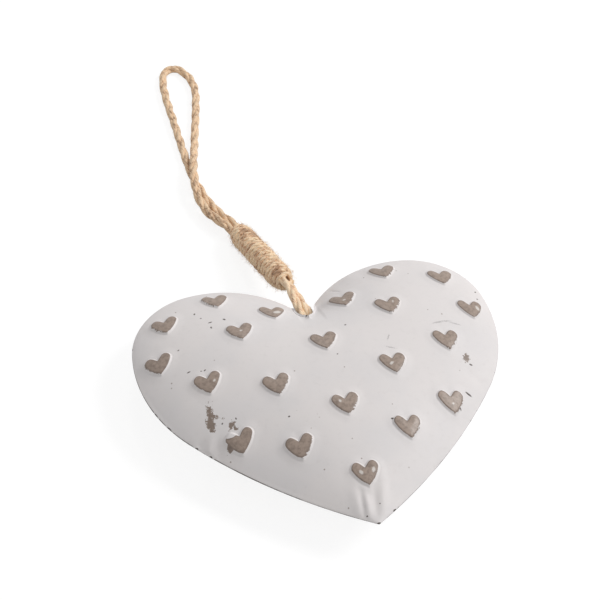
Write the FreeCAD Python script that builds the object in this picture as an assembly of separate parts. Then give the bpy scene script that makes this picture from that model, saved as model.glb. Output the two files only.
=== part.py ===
import FreeCAD, Part
import math
import os

from FreeCAD import Vector

# Hollow pressed-tin heart ornament on a doubled jute hanging cord, lying on its back.
# Millimetres. +Z is up through the heart's depth, +Y runs from the tip to the cleft.
# The origin is under the middle of the heart, on the surface that it lies on.

# Heart plan: one half is four tangent arcs from the cleft to the tip.
heart_width = 150.0
shoulder_x_share = 0.2835
shoulder_y_share = 0.1246
crown_radius_share = 0.3134
shoulder_radius_share = 0.2143
side_radius_share = 0.4246
flank_radius_share = 1.4975
crown_turn = 82.5
side_turn = 8.8
flank_turn = -38.3

# Pressed halves
dome_rise = 14.5
flange_width = 1.0
wall = 0.4
grid_columns = 33
grid_rows = 29
grid_margin = 9.0
arc_steps = 14
on_line = 1e-6

# Embossed hearts, the same on both halves: places across the width and up from the tip
pad_width = 10.6
pad_height = 9.6
pad_rise = 1.0
pad_draft = 0.55
pad_reach = 6.0
pad_pair_shares = [
    (0.159, 0.496),
    (0.207, 0.737),
    (0.099, 0.817),
    (0.239, 0.920),
    (0.392, 0.856),
    (0.437, 0.703),
    (0.328, 0.571),
    (0.286, 0.353),
    (0.145, 0.275),
]
pad_axis_shares = [0.626, 0.376, 0.147]
# Small heart outline: shares of half its width and of its height, from the cleft to the tip
pad_cleft_share = 0.76
pad_crown_shares = (0.52, 1.0)
pad_shoulder_shares = (1.0, 0.70)
pad_flank_shares = (0.62, 0.31)

# Solder run along the inside of the rim
solder_reach = 2.2

# Mouth in the cleft, two split lips round the cord
mouth_bore = 3.9
mouth_inner = 6.0
mouth_outer = 4.6
mouth_cutback = 9.6
mouth_clear = 9.0

# Doubled cord
cord_diameter = 3.2
leg_gap = 0.04
joint_gap = 0.3
pivot_out = 1.5
neck_length = 17.0
neck_round = 3.6
whip_seat = 4.1

# Stopper knot inside the heart
knot_ring = 2.7
knot_strand = 2.0
knot_lump = 3.3
knot_lump_out = 1.9

# Twine whipping round both legs
twine_diameter = 1.85
twine_pitch = 2.3
whip_inner = 3.35
gap_probes = 48
whip_far = Vector(-14.0, 107.3, 4.9)

# Route of the loop's free stretch, from the whipping round to the whipping again
loop_route = [
    (-19.4, 114.6, 4.7),
    (-23.6, 122.0, 3.9),
    (-25.8, 130.6, 4.2),
    (-25.8, 139.5, 5.3),
    (-24.3, 149.5, 5.4),
    (-22.3, 158.0, 3.9),
    (-20.3, 166.0, 1.8),
    (-17.7, 176.5, 1.7),
    (-15.0, 187.0, 1.7),
    (-12.7, 196.5, 1.7),
    (-11.4, 205.0, 1.7),
    (-10.9, 213.0, 1.7),
    (-12.4, 218.0, 1.7),
    (-16.4, 221.3, 1.7),
    (-21.2, 221.5, 1.7),
    (-25.1, 218.3, 1.7),
    (-26.7, 212.6, 1.7),
    (-27.1, 202.5, 1.7),
    (-26.6, 190.5, 1.7),
    (-25.9, 178.5, 1.7),
    (-25.7, 166.0, 1.7),
    (-25.3, 154.5, 1.65),
    (-24.0, 143.8, 1.65),
    (-21.8, 134.5, 1.75),
    (-19.2, 126.2, 2.6),
    (-16.6, 118.8, 3.9),
]
arc_share = 0.45


def heart_arcs(inset):
    """Right half of the heart as arcs: centre x, centre y, radius, first and last angle."""
    scale = heart_width
    crown_end = math.radians(crown_turn)
    side_end = math.radians(side_turn)
    flank_end = math.radians(flank_turn)
    shoulder = (shoulder_x_share * scale, shoulder_y_share * scale)
    shoulder_radius = shoulder_radius_share * scale

    def next_centre(centre, radius, new_radius, angle):
        step = radius - new_radius
        return (centre[0] + step * math.cos(angle), centre[1] + step * math.sin(angle))

    crown_radius = crown_radius_share * scale
    side_radius = side_radius_share * scale
    flank_radius = flank_radius_share * scale
    crown = next_centre(shoulder, shoulder_radius, crown_radius, crown_end)
    side = next_centre(shoulder, shoulder_radius, side_radius, side_end)
    flank = next_centre(side, side_radius, flank_radius, flank_end)
    crown_radius -= inset
    flank_radius -= inset
    cleft_angle = math.acos(-crown[0] / crown_radius)
    tip_angle = -math.acos(-flank[0] / flank_radius)
    return [
        (crown, crown_radius, cleft_angle, crown_end),
        (shoulder, shoulder_radius - inset, crown_end, side_end),
        (side, side_radius - inset, side_end, flank_end),
        (flank, flank_radius, flank_end, tip_angle),
    ]


def arc_point(arc, share):
    centre, radius, first, last = arc
    angle = first + (last - first) * share
    return (centre[0] + radius * math.cos(angle), centre[1] + radius * math.sin(angle))


def heart_wire(inset, height):
    edges = []
    for side in (1, -1):
        for arc in heart_arcs(inset):
            ends = []
            for share in (0, 0.5, 1):
                x, y = arc_point(arc, share)
                ends.append(Vector(side * x, y, height))
            edges.append(Part.Arc(*ends).toShape())
    return Part.Wire(Part.__sortEdges__(edges))


def heart_prism(inset, bottom, top):
    return Part.Face(heart_wire(inset, bottom)).extrude(Vector(0, 0, top - bottom))


def outline_points():
    right = []
    for arc in heart_arcs(0):
        for step in range(arc_steps):
            right.append(arc_point(arc, step / arc_steps))
    right.append(arc_point(heart_arcs(0)[-1], 1))
    left = [(-x, y) for x, y in reversed(right[1:-1])]
    return right + left


outline = outline_points()
crown_y = max(y for x, y in outline)
tip_y = min(y for x, y in outline)
cleft_y = arc_point(heart_arcs(0)[0], 0)[1]
middle_y = (crown_y + tip_y) / 2


def rim_distance(x, y):
    """Smooth distance from the rim: positive inside, negative outside, rounded in the middle."""
    total = 0
    for first, last in zip(outline, outline[1:] + outline[:1]):
        run_x = last[0] - first[0]
        run_y = last[1] - first[1]
        run = math.hypot(run_x, run_y)
        run_x /= run
        run_y /= run
        from_x = first[0] - x
        from_y = first[1] - y
        to_x = last[0] - x
        to_y = last[1] - y
        height = from_y * run_x - from_x * run_y
        if abs(height) < on_line:
            height = on_line
        start = (from_x * run_x + from_y * run_y) / math.hypot(from_x, from_y)
        end = (to_x * run_x + to_y * run_y) / math.hypot(to_x, to_y)
        total += (end - start) / height
    return 2 / total


def grid_places(low, high, count):
    return [low + (high - low) * step / (count - 1) for step in range(count)]


half_width = heart_width / 2 + grid_margin
columns = grid_places(-half_width, half_width, grid_columns)
rows = grid_places(tip_y - grid_margin, crown_y + grid_margin, grid_rows)


def orientation():
    return math.copysign(1, rim_distance(0, middle_y))


inside_sign = orientation()
distances = [[inside_sign * rim_distance(x, y) for y in rows] for x in columns]
dome_reach = max(max(line) for line in distances)


def dome_height(distance):
    """Height of the outer face over the seam plane; it levels off outside the rim."""
    share = (distance - flange_width) / (dome_reach - flange_width)
    if share < 0:
        share = math.tanh(share)
    return dome_rise * share


heights = [[dome_height(distance) for distance in line] for line in distances]


def slope_stretch(column, row):
    """How much longer a vertical cut through the sheet is than its thickness."""
    left, right = max(column - 1, 0), min(column + 1, grid_columns - 1)
    low, high = max(row - 1, 0), min(row + 1, grid_rows - 1)
    slope_x = (heights[right][row] - heights[left][row]) / (columns[right] - columns[left])
    slope_y = (heights[column][high] - heights[column][low]) / (rows[high] - rows[low])
    return math.sqrt(1 + slope_x**2 + slope_y**2)


def under_surface(lower_by_wall, shift):
    """Solid under the outer face, or under the inner face one wall below it."""
    points = []
    for column, x in enumerate(columns):
        line = []
        for row, y in enumerate(rows):
            height = heights[column][row] + shift
            if lower_by_wall:
                height -= wall * slope_stretch(column, row)
            line.append(Vector(x, y, height))
        points.append(line)
    surface = Part.BSplineSurface()
    surface.interpolate(points)
    depth = 4 * dome_rise
    return surface.toShape().extrude(Vector(0, 0, -depth))


def pad_wire(place, grow, height):
    """Small heart outline round its place, grown by the draft."""
    half = pad_width / 2 + grow
    tall = pad_height + 2 * grow
    low = place[1] - tall / 2

    def at(shares, side):
        return Vector(place[0] + side * shares[0] * half, low + shares[1] * tall, height)

    cleft = at((0, pad_cleft_share), 1)
    tip = at((0, 0), 1)
    edges = []
    for side in (1, -1):
        shoulder = at(pad_shoulder_shares, side)
        edges.append(Part.Arc(cleft, at(pad_crown_shares, side), shoulder).toShape())
        edges.append(Part.Arc(shoulder, at(pad_flank_shares, side), tip).toShape())
    return Part.Wire(Part.__sortEdges__(edges))


def pad_places():
    tall = crown_y - tip_y
    places = []
    for across, up in pad_pair_shares:
        for side in (1, -1):
            places.append((side * across * heart_width, tip_y + up * tall))
    for up in pad_axis_shares:
        places.append((0, tip_y + up * tall))
    return places


def pad_block(place, shrink):
    """Drafted block round one embossed heart, reaching past the dome both ways."""
    level = dome_height(inside_sign * rim_distance(*place))
    low = max(level - pad_reach, wall)
    high = level + pad_reach
    bottom = pad_wire(place, pad_draft - shrink, low)
    top = pad_wire(place, -pad_draft - shrink, high)
    return Part.makeLoft([bottom, top], True, True)


def union(shapes):
    return shapes[0].multiFuse(shapes[1:]) if len(shapes) > 1 else shapes[0]


def one_solid(shape):
    """The shape's only solid, or its largest where a cut leaves a loose crumb."""
    solids = sorted(shape.Solids, key=lambda solid: solid.Volume)
    return solids[-1]


def mouth_lips():
    """Half tube round the cord in the cleft, its upper edge cut back to the sides."""
    start = cleft_y - mouth_inner
    end = cleft_y + mouth_outer
    along = Vector(0, 1, 0)
    outer = Part.makeCylinder(mouth_bore + wall, end - start, Vector(0, start, 0), along)
    inner = Part.makeCylinder(mouth_bore, end - start, Vector(0, start, 0), along)
    tube = outer.cut(inner)
    reach = 2 * mouth_bore
    keep = Part.makePolygon(
        [
            Vector(-reach, start, 0),
            Vector(-reach, end, 0),
            Vector(-reach, end - mouth_cutback, mouth_bore + wall),
            Vector(-reach, start, mouth_bore + wall),
            Vector(-reach, start, 0),
        ]
    )
    return tube.common(Part.Face(keep).extrude(Vector(2 * reach, 0, 0)))


def front_half():
    """One pressed half over the seam plane, and the hollow under it."""
    top = dome_rise + 2 * pad_reach
    blank = heart_prism(0, 0, top)
    plate = heart_prism(0, 0, wall)
    body = under_surface(False, 0).common(blank)
    hollow = under_surface(True, 0).common(blank)
    places = pad_places()
    raised = union([pad_block(place, 0) for place in places])
    sunk = union([pad_block(place, wall) for place in places])
    pads = under_surface(False, pad_rise).common(raised)
    recesses = under_surface(True, pad_rise).common(sunk)
    shell = plate.fuse(body).fuse(pads).cut(hollow).cut(recesses)
    bore = Part.makeCylinder(
        mouth_bore,
        mouth_inner + mouth_clear,
        Vector(0, cleft_y - mouth_inner, 0),
        Vector(0, 1, 0),
    )
    shell = one_solid(shell.cut(bore).fuse(mouth_lips()))
    return shell, one_solid(hollow)


def seam_solder(hollow):
    """Fillet of solder in the crevice along the inside of the rim, open at the mouth."""
    inner = heart_prism(flange_width + solder_reach, -dome_rise, dome_rise)
    half = hollow.cut(inner)
    ring = half.fuse(half.mirror(Vector(0, 0, 0), Vector(0, 0, 1)))
    clear = Part.makeCylinder(
        mouth_bore + 2 * wall,
        2 * mouth_inner + mouth_clear,
        Vector(0, cleft_y - 2 * mouth_inner, 0),
        Vector(0, 1, 0),
    )
    return one_solid(ring.cut(clear))


def rod(start, end, radius):
    run = end - start
    return Part.makeCylinder(radius, run.Length, start, run)


def stopper_knot(cord_radius, leg_offset, pivot):
    """Knot that the mouth holds back, with the two short ends that lead into the cord."""
    centre = Vector(0, cleft_y - mouth_inner - joint_gap - knot_lump, 0)
    along = Vector(0, 1, 0)
    pieces = [Part.makeTorus(knot_ring, knot_strand, centre, along)]
    for side in (1, -1):
        lump = centre + Vector(side * knot_lump_out, 0, 0)
        pieces.append(Part.makeSphere(knot_lump, lump))
        leg = Vector(side * leg_offset, 0, 0)
        stub_end = Vector(0, pivot.y - cord_radius - joint_gap, 0)
        pieces.append(rod(centre + leg, stub_end + leg, cord_radius))
    return one_solid(union(pieces))


def neck_legs(cord_radius, leg_offset, pivot, sway_pivot):
    """Two legs side by side, round at the mouth and round about the sway axis."""
    far = sway_pivot + Vector(0, neck_round, 0)
    limit = Part.makeCylinder(neck_round, 2 * neck_round, sway_pivot - Vector(0, 0, neck_round))
    middle = (pivot + sway_pivot) / 2
    legs = []
    for side in (1, -1):
        leg = Vector(side * leg_offset, 0, 0)
        near = rod(pivot + leg, sway_pivot + leg, cord_radius)
        end = rod(middle + leg, far + leg, cord_radius).common(limit)
        legs.append(near.fuse(Part.makeSphere(cord_radius, pivot + leg)).fuse(end).removeSplitter())
    return Part.makeCompound(legs)


def bound_legs(cord_radius, leg_offset, near, far, across):
    legs = []
    for side in (1, -1):
        aside = across * side * leg_offset
        legs.append(rod(near + aside, far + aside, cord_radius))
    return Part.makeCompound(legs)


def arc_edge(start, tangent, end):
    """Arc from start, along its tangent, to end."""
    chord = end - start
    normal = chord - tangent * chord.dot(tangent)
    normal.normalize()
    radius = chord.Length**2 / (2 * chord.dot(normal))
    centre = start + normal * radius
    halfway = (start - centre) + (end - centre)
    halfway.normalize()
    return Part.Arc(start, centre + halfway * radius, end).toShape()


def biarc(start, tangent, end, end_tangent):
    """Two arcs that join two points and follow both tangents."""
    chord = end - start
    total = tangent + end_tangent
    slack = 2 * (1 - tangent.dot(end_tangent))
    reach = (math.sqrt(chord.dot(total) ** 2 + slack * chord.dot(chord)) - chord.dot(total)) / slack
    joint = (start + tangent * reach + end - end_tangent * reach) / 2
    joint_tangent = (end - end_tangent * reach) - (start + tangent * reach)
    joint_tangent.normalize()
    return [arc_edge(start, tangent, joint), arc_edge(joint, joint_tangent, end)]


def whipping(near, far, across):
    """One twine wound round both legs, its ends running on straight."""
    along = (far - near).normalize()
    upward = across.cross(along)
    radius = whip_inner + twine_diameter / 2
    whip_turns = int((far - near).Length / twine_pitch)
    coil_length = whip_turns * twine_pitch
    first = near + along * ((far - near).Length - coil_length) / 2
    climb = twine_pitch / (2 * math.pi)

    def place(angle):
        spoke = across * math.cos(angle) + upward * math.sin(angle)
        return first + spoke * radius + along * climb * angle

    def heading(angle):
        turn = (upward * math.cos(angle) - across * math.sin(angle)) * radius + along * climb
        return turn.normalize()

    quarter = math.pi / 2
    edges = []
    start, end = place(0), place(whip_turns * 4 * quarter)
    lead_in = start - heading(0) * twine_diameter
    lead_out = end + heading(whip_turns * 4 * quarter) * twine_diameter
    edges.append(Part.LineSegment(lead_in, start).toShape())
    for step in range(4 * whip_turns):
        low, high = step * quarter, (step + 1) * quarter
        edges += biarc(place(low), heading(low), place(high), heading(high))
    edges.append(Part.LineSegment(end, lead_out).toShape())
    profile = Part.Wire(Part.makeCircle(twine_diameter / 2, lead_in, heading(0)))
    solid = Part.Wire(edges).makePipeShell([profile], True, False)
    probes = [place(4 * quarter * step / gap_probes) for step in range(2 * gap_probes)]
    nearest = min((probe - place(4 * quarter)).Length for probe in probes[: gap_probes // 2])
    print("whipping:", whip_turns, "turns, least gap between them", round(nearest - twine_diameter, 3))
    return solid


def rounded_route(points):
    """Straight runs joined by tangent arcs, each as large as its two runs allow."""
    edges = []
    radii = []
    at = points[0]
    length = 0
    for before, corner, after in zip(points, points[1:], points[2:]):
        into = (corner - before).normalize()
        out = (after - corner).normalize()
        trim = arc_share * min((corner - before).Length, (after - corner).Length)
        half_turn = into.getAngle(out) / 2
        radius = trim / math.tan(half_turn)
        radii.append(radius)
        arc_start, arc_end = corner - into * trim, corner + out * trim
        edges.append(Part.LineSegment(at, arc_start).toShape())
        edges.append(arc_edge(arc_start, into, arc_end))
        length += (arc_start - at).Length + radius * 2 * half_turn
        at = arc_end
    edges.append(Part.LineSegment(at, points[-1]).toShape())
    length += (points[-1] - at).Length
    print("loop: radii", [round(radius, 1) for radius in radii], "length", round(length, 1))
    return Part.Wire(edges), length


def hanging_loop(cord_radius, leg_offset, far, along, across):
    """Free stretch of the cord, round from the whipping to the whipping again."""
    clear = along * 2 * cord_radius
    left, right = far - across * leg_offset, far + across * leg_offset
    points = [left, left + clear]
    points += [Vector(*place) for place in loop_route]
    points += [right + clear, right]
    path, length = rounded_route(points)
    profile = Part.Wire(Part.makeCircle(cord_radius, left, along))
    tube = path.makePipeShell([profile], True, False)
    section = math.pi * cord_radius**2
    print("loop: volume over section times length", round(tube.Volume / section / length, 4))
    return tube


def build():
    cord_radius = cord_diameter / 2
    leg_offset = cord_radius + leg_gap / 2
    front, hollow = front_half()
    seam_height = front.optimalBoundingBox(False, False).ZMax
    lift = Vector(0, -middle_y, seam_height)
    back = front.mirror(Vector(0, 0, 0), Vector(0, 0, 1))
    pivot = Vector(0, cleft_y + pivot_out, 0)
    sway_pivot = pivot + Vector(0, neck_length, 0)
    parts = {
        "front_shell": front,
        "back_shell": back,
        "seam_solder": seam_solder(hollow),
        "stopper_knot": stopper_knot(cord_radius, leg_offset, pivot),
        "neck_legs": neck_legs(cord_radius, leg_offset, pivot, sway_pivot),
    }
    for shape in parts.values():
        shape.translate(lift)
    sway = sway_pivot + lift
    along = (whip_far - sway).normalize()
    across = along.cross(Vector(0, 0, 1)).normalize()
    near = sway + along * whip_seat
    parts["bound_legs"] = bound_legs(cord_radius, leg_offset, near, whip_far, across)
    parts["whipping_twine"] = whipping(near, whip_far, across)
    parts["hanging_loop"] = hanging_loop(cord_radius, leg_offset, whip_far, along, across)
    print("mouth pivot", [round(value, 2) for value in (pivot + lift)])
    print("sway pivot", [round(value, 2) for value in sway], "whipping", round((whip_far - near).Length, 2))
    os.makedirs("parts", exist_ok=True)
    for name, shape in parts.items():
        box = shape.optimalBoundingBox(False, False)
        low = [round(value, 2) for value in (box.XMin, box.YMin, box.ZMin)]
        high = [round(value, 2) for value in (box.XMax, box.YMax, box.ZMax)]
        print(name, len(shape.Solids), shape.isValid(), round(shape.Volume, 1), low, high)
        shape.exportStep("parts/" + name + ".step")


build()
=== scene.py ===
import math

import bpy
import numpy as np
from mathutils import Matrix, Vector
from mathutils.geometry import delaunay_2d_cdt


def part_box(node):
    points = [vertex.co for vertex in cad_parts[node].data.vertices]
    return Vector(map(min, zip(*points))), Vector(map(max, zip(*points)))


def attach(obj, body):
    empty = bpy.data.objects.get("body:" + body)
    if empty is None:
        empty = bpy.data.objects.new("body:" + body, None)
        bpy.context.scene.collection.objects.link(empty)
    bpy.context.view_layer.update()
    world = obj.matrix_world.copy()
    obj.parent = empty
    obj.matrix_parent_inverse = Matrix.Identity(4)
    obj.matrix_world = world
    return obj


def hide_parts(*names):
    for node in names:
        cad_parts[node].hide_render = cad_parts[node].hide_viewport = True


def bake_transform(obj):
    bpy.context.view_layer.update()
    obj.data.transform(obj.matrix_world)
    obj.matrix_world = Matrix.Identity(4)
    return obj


bl_info = {
    "name": "Hanging tin heart",
    "version": (1, 0, 0),
    "blender": (4, 5, 0),
    "location": "View3D > Sidebar > Tin heart",
    "description": "Pressed tin heart with embossed hearts on a doubled jute cord",
    "category": "Object",
}

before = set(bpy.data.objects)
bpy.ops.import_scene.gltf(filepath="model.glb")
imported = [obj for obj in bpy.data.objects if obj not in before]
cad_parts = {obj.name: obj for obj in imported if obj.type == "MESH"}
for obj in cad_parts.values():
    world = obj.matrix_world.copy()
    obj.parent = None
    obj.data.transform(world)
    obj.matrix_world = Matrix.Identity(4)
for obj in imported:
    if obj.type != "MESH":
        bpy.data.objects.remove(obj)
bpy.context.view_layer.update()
seam_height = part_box("front_shell")[0].z

# Heart plan, as in the part's source: one half is four tangent arcs from the cleft to the tip
heart_width = 0.150
shoulder_shares = (0.2835, 0.1246)
arc_radius_shares = (0.3134, 0.2143, 0.4246, 1.4975)
crown_turn, side_turn, flank_turn = (math.radians(turn) for turn in (82.5, 8.8, -38.3))
arc_steps = 14
fewest_steps = 4
on_line = 1e-9

# Grid on which the highest point of the smooth rim distance is read
reach_columns, reach_rows = 33, 29
reach_margin = 0.009
rim_part = 8000
distance_part = 2000

# Embossed hearts: places across the width and up from the tip, and their outline
pad_pair_shares = [
    (0.159, 0.496),
    (0.207, 0.737),
    (0.099, 0.817),
    (0.239, 0.920),
    (0.392, 0.856),
    (0.437, 0.703),
    (0.328, 0.571),
    (0.286, 0.353),
    (0.145, 0.275),
]
pad_axis_shares = [0.626, 0.376, 0.147]
pad_width, pad_height = 0.0110, 0.0100
pad_cleft_share = 0.76
pad_crown_shares = (0.52, 1.0)
pad_shoulder_shares = (1.0, 0.70)
pad_flank_shares = (0.62, 0.31)
pad_arc_steps = 12
pad_notch_low = 0.0025
pad_notch_half_angle = math.radians(43)
pad_notch_round = 0.0004
pad_notch_blend = 0.0009
pad_clear = 0.004
face_crown_share = 0.2
face_crown_reach = -2.2

# Mouth in the cleft: a spout round the cord, cut back in a V
spout_outer, spout_inner, spout_edge = 0.0043, 0.0039, 0.0041
spout_start = 0.0060
spout_ramp = 0.0070
spout_end = 0.0046
spout_cutback = 0.0096
spout_fillet = 0.0006
spout_flare = 0.0013
spout_flare_reach = 0.0009
spout_narrowing = 0.16
spout_lean = 0.0013
spout_steps = 22
spout_clear_share = 1.6
slit_length, slit_width = 0.0026, 0.0005
lip_darkness = 0.00003
# Thin dark line along the left lip: painted shade beneath the lip, drawn with the chips
lip_shade_inset, lip_shade_width = 0.0009, 0.00018
rim_rounding = 0.35
sharp_turn = math.radians(50)

# Plan meshes of the outer and the inner face: distances between their points
rim_insets = (0.00006, 0.00016, 0.0004, 0.0008, 0.0012, 0.0017, 0.0024, 0.0032)
sheet_spacing = 0.0013
inner_spacing = 0.0026
outer_mesh = {
    "insets": rim_insets,
    "rim": 0.0008,
    "pad rings": (-1.9, -1.5, -1.15, -0.85, -0.6, -0.4, -0.2, 0, 0.2, 0.4, 0.6, 0.85, 1.15, 1.5),
    "pads": 0.00030,
    "sheet": sheet_spacing,
    "mouth": 0.00022,
}
inner_mesh = {
    "insets": (0.00008, 0.0009, 0.0013, 0.0024),
    "rim": 0.0016,
    "pad rings": (-0.7, 0, 0.7),
    "pads": 0.0009,
    "sheet": inner_spacing,
    "mouth": 0.00088,
}
pad_ring_unit = 0.001
pad_middle_spacing = 0.0006
fold_spacing = 0.0004
plan_unit = 1000
merge_distance = 1e-4

# Marks in the paint: x share of the width, y share up from the tip, length, width, turn in degrees
worn_marks = [
    (-0.343, 0.477, 0.0070, 0.0022, 82),
    (-0.347, 0.441, 0.0062, 0.0032, 96),
    (-0.310, 0.353, 0.0046, 0.0030, 60),
    (-0.333, 0.462, 0.0028, 0.0014, 130),
    (0.368, 0.508, 0.0042, 0.0022, 60),
    (-0.312, 0.444, 0.0008, 0.0006, 0),
    (-0.297, 0.416, 0.0028, 0.0018, 50),
    (-0.290, 0.400, 0.0022, 0.0015, 120),
    (-0.302, 0.404, 0.0014, 0.0008, 20),
    (-0.291, 0.339, 0.0050, 0.0016, -5),
]
chip_marks = [
    (-0.306, 0.877, 0.0011, 0.0007, 70),
    (-0.294, 0.848, 0.0007, 0.0005, 0),
    (-0.274, 0.817, 0.0017, 0.0006, 5),
    (-0.276, 0.792, 0.0014, 0.0006, 95),
    (-0.235, 0.817, 0.0014, 0.0007, 130),
    (-0.377, 0.735, 0.0009, 0.0005, 20),
    (-0.367, 0.638, 0.0015, 0.0005, 10),
    (-0.336, 0.626, 0.0008, 0.0005, 160),
    (-0.326, 0.625, 0.0010, 0.0005, 30),
    (-0.151, 0.382, 0.0008, 0.0007, 0),
    (0.073, 0.686, 0.0009, 0.0006, 0),
    (0.022, 0.566, 0.0006, 0.0005, 0),
    (0.108, 0.307, 0.0010, 0.0008, 0),
    (0.478, 0.795, 0.0009, 0.0006, 30),
    (0.473, 0.760, 0.0007, 0.0006, 0),
    (0.375, 0.484, 0.0017, 0.0008, 150),
    (0.342, 0.384, 0.0029, 0.0008, 140),
    (0.305, 0.333, 0.0012, 0.0006, 110),
    (-0.318, 0.430, 0.0008, 0.0006, 40),
    (-0.282, 0.430, 0.0009, 0.0005, 100),
    (-0.011, 0.788, 0.0027, 0.0006, 75),
    (0.0, 0.003, 0.0016, 0.0005, 0),
    (0.050, 0.035, 0.0018, 0.0011, 33),
    (-0.474, 0.546, 0.0024, 0.0007, 110),
    (-0.450, 0.484, 0.0032, 0.0009, 118),
    (-0.394, 0.391, 0.0016, 0.0009, 129),
    (-0.365, 0.351, 0.0016, 0.0008, 131),
    (-0.489, 0.820, 0.0012, 0.0005, 74),
    (-0.025, 0.030, 0.0006, 0.0005, 0),
    (0.015, 0.057, 0.0005, 0.0005, 0),
]
painted_marks = [
    (-0.303, 0.389, 0.0060, 0.0044, 12),
]
# Rubbed spots on the small hearts' faces: light spots set where glints show, partly metal rubbed bright and
# partly painted highlight
rubbed_highlight_marks = [
    (-0.311, 0.571, 0.0013, 0.0009, 60),
    (0.100, 0.809, 0.0014, 0.0010, 20),
    (0.457, 0.706, 0.0024, 0.0015, 100),
    (-0.088, 0.812, 0.0034, 0.0020, 15),
    (0.153, 0.493, 0.0019, 0.0011, 40),
    (-0.013, 0.150, 0.0019, 0.0012, 125),
    (0.020, 0.152, 0.0020, 0.0013, 65),
    (-0.205, 0.737, 0.0012, 0.0009, 0),
    (-0.014, 0.386, 0.0014, 0.0010, 120),
    (0.287, 0.345, 0.0010, 0.0008, 30),
    (0.222, 0.748, 0.0014, 0.0007, 80),
]
scratch_marks = [
    (0.326, 0.648, 0.0046, 0.0008, 10),
    (0.349, 0.652, 0.0040, 0.0007, 0),
    (0.371, 0.642, 0.0042, 0.0006, -18),
    (0.168, 0.561, 0.0036, 0.0006, -25),
    (0.172, 0.604, 0.0030, 0.0005, 60),
    (0.092, 0.900, 0.0050, 0.0004, -50),
]
mark_ring_shares = (0.4, 0.8, 1.2, 1.7, 2.3)
mark_ring_steps = 14
worn_inset = 0.00025
worn_patch_clear = 0.002
worn_patch_reach = 0.0012
least_torn = 0.1

# Which side of a small heart wears most, and how much that differs from one to the next
worn_side = (0.80, -0.60)
worn_side_turns_at = -0.2
torn_shares = (0.15, 0.65)
torn_order, torn_kinds = 7, 5

# Folds and dents of the sheet: ends as shares across and up, width, height
fold_strokes = [
    (-0.041, 0.130, -0.044, 0.035, 0.0019, 0.00040),
    (-0.015, 0.104, -0.020, 0.018, 0.0012, 0.00042),
    (0.046, 0.160, 0.020, 0.035, 0.0019, 0.00045),
    (-0.026, 0.098, -0.032, 0.024, 0.0010, -0.00026),
    (0.010, 0.104, -0.001, 0.016, 0.0015, -0.00042),
    (-0.372, 0.415, -0.395, 0.385, 0.0016, -0.00030),
    (-0.352, 0.400, -0.374, 0.352, 0.0014, 0.00030),
    (-0.335, 0.375, -0.352, 0.320, 0.0016, -0.00028),
    (0.078, 0.925, 0.104, 0.880, 0.0006, -0.00018),
    (0.120, 0.960, 0.180, 0.930, 0.0030, 0.00035),
    (0.365, 0.455, 0.395, 0.430, 0.0022, -0.00030),
]
fold_end_share = 0.35
narrow_fold_share = 1.2
fold_reach_share = 2.2
sheet_wave = 0.00022
sheet_wave_length = 0.034
wave_turns = (0.3, 1.4, 2.6, 3.9)
wave_growth, wave_shift = 0.23, 1.7

# How far noise moves the edge of each kind of mark, the distances between which it fades, and its strength:
# chips, with the painted shade under the left lip; scratches; rubbed spots, whose light colour is partly
# painted highlight
wear_and_painted_light_edges = {
    "chips": (0.0005, 0.00009, -0.00009, 1.0),
    "scratches": (0.0009, 0.0002, -0.0002, 0.55),
    "rubbed": (0.0006, 0.00025, -0.00025, 0.85),
}
torn_reach = 0.0045
grain_reach = 0.00022
worn_fade = (0.00009, -0.00005)
nick_reach = -0.0022
nick_fade = (0.00016, 0.00006)
# Seam line: its width, its extra width towards the lower left, which is painted shade on the side away from
# the key, and its end; then the lower-left span
seam_line, seam_shade_growth, seam_line_end = 0.00012, 0.00022, 0.00003
low_left_shade_span = (0.0, -0.05, 0.045, 0.0)
# Span inside each taupe face over which it darkens towards its border, as painted shade
face_edge_shade = (-0.0007, -0.0001)
paint_bump, solder_bump, fibre_bump = 0.00008, 0.0002, 0.00025

# Shares by which a colour is dimmed for its darker places
cool_shares = (0.955, 0.965, 0.975)
soiled_share, scratched_share = 0.90, 0.45
# The second share darkens the border of each taupe face, as painted shade
worn_dark_share, face_edge_shade_share = 0.66, 0.42
deep_jute_share, pale_jute_share = 0.55, 1.28

# Cord: the part's own control points, some of them moved by up to 2.2 mm to follow the photograph
cord_diameter = 0.0032
leg_gap = 0.00004
leg_offset = cord_diameter / 2 + leg_gap / 2
inside_start = Vector((0, 0.0365, seam_height))
mouth_pivot = Vector((0, 0.04340, seam_height))
sway_pivot = Vector((0, 0.06040, seam_height))
neck_waist_share = 0.5
neck_lean = Vector((-0.0022, 0, 0))
waist_turn = math.radians(34)
seat_turn = math.radians(60)
whip_seat = 0.0041
whip_far = Vector((-0.0140, 0.1073, 0.0049))
loop_route = [
    (-0.0194, 0.1146, 0.0047),
    (-0.0236, 0.1220, 0.0039),
    (-0.0258, 0.1306, 0.0042),
    (-0.0258, 0.1395, 0.0053),
    (-0.0243, 0.1495, 0.0054),
    (-0.0223, 0.1580, 0.0039),
    (-0.0203, 0.1660, 0.0018),
    (-0.0177, 0.1765, 0.0017),
    (-0.0150, 0.1870, 0.0017),
    (-0.0127, 0.1965, 0.0017),
    (-0.0110, 0.2045, 0.0017),
    (-0.0112, 0.2118, 0.0017),
    (-0.0130, 0.2180, 0.0017),
    (-0.0166, 0.2226, 0.0017),
    (-0.0207, 0.2228, 0.0017),
    (-0.0238, 0.2186, 0.0017),
    (-0.0252, 0.2120, 0.0017),
    (-0.0257, 0.2030, 0.0017),
    (-0.0256, 0.1905, 0.0017),
    (-0.0255, 0.1785, 0.0017),
    (-0.0255, 0.1660, 0.0017),
    (-0.0253, 0.1545, 0.00165),
    (-0.0243, 0.1433, 0.00165),
    (-0.0225, 0.1338, 0.00175),
    (-0.0201, 0.1254, 0.0026),
    (-0.0174, 0.1182, 0.0039),
]
route_resolution = 10
swell_opens, swell_closes = (0.012, 0.040), (0.105, 0.075)

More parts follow.
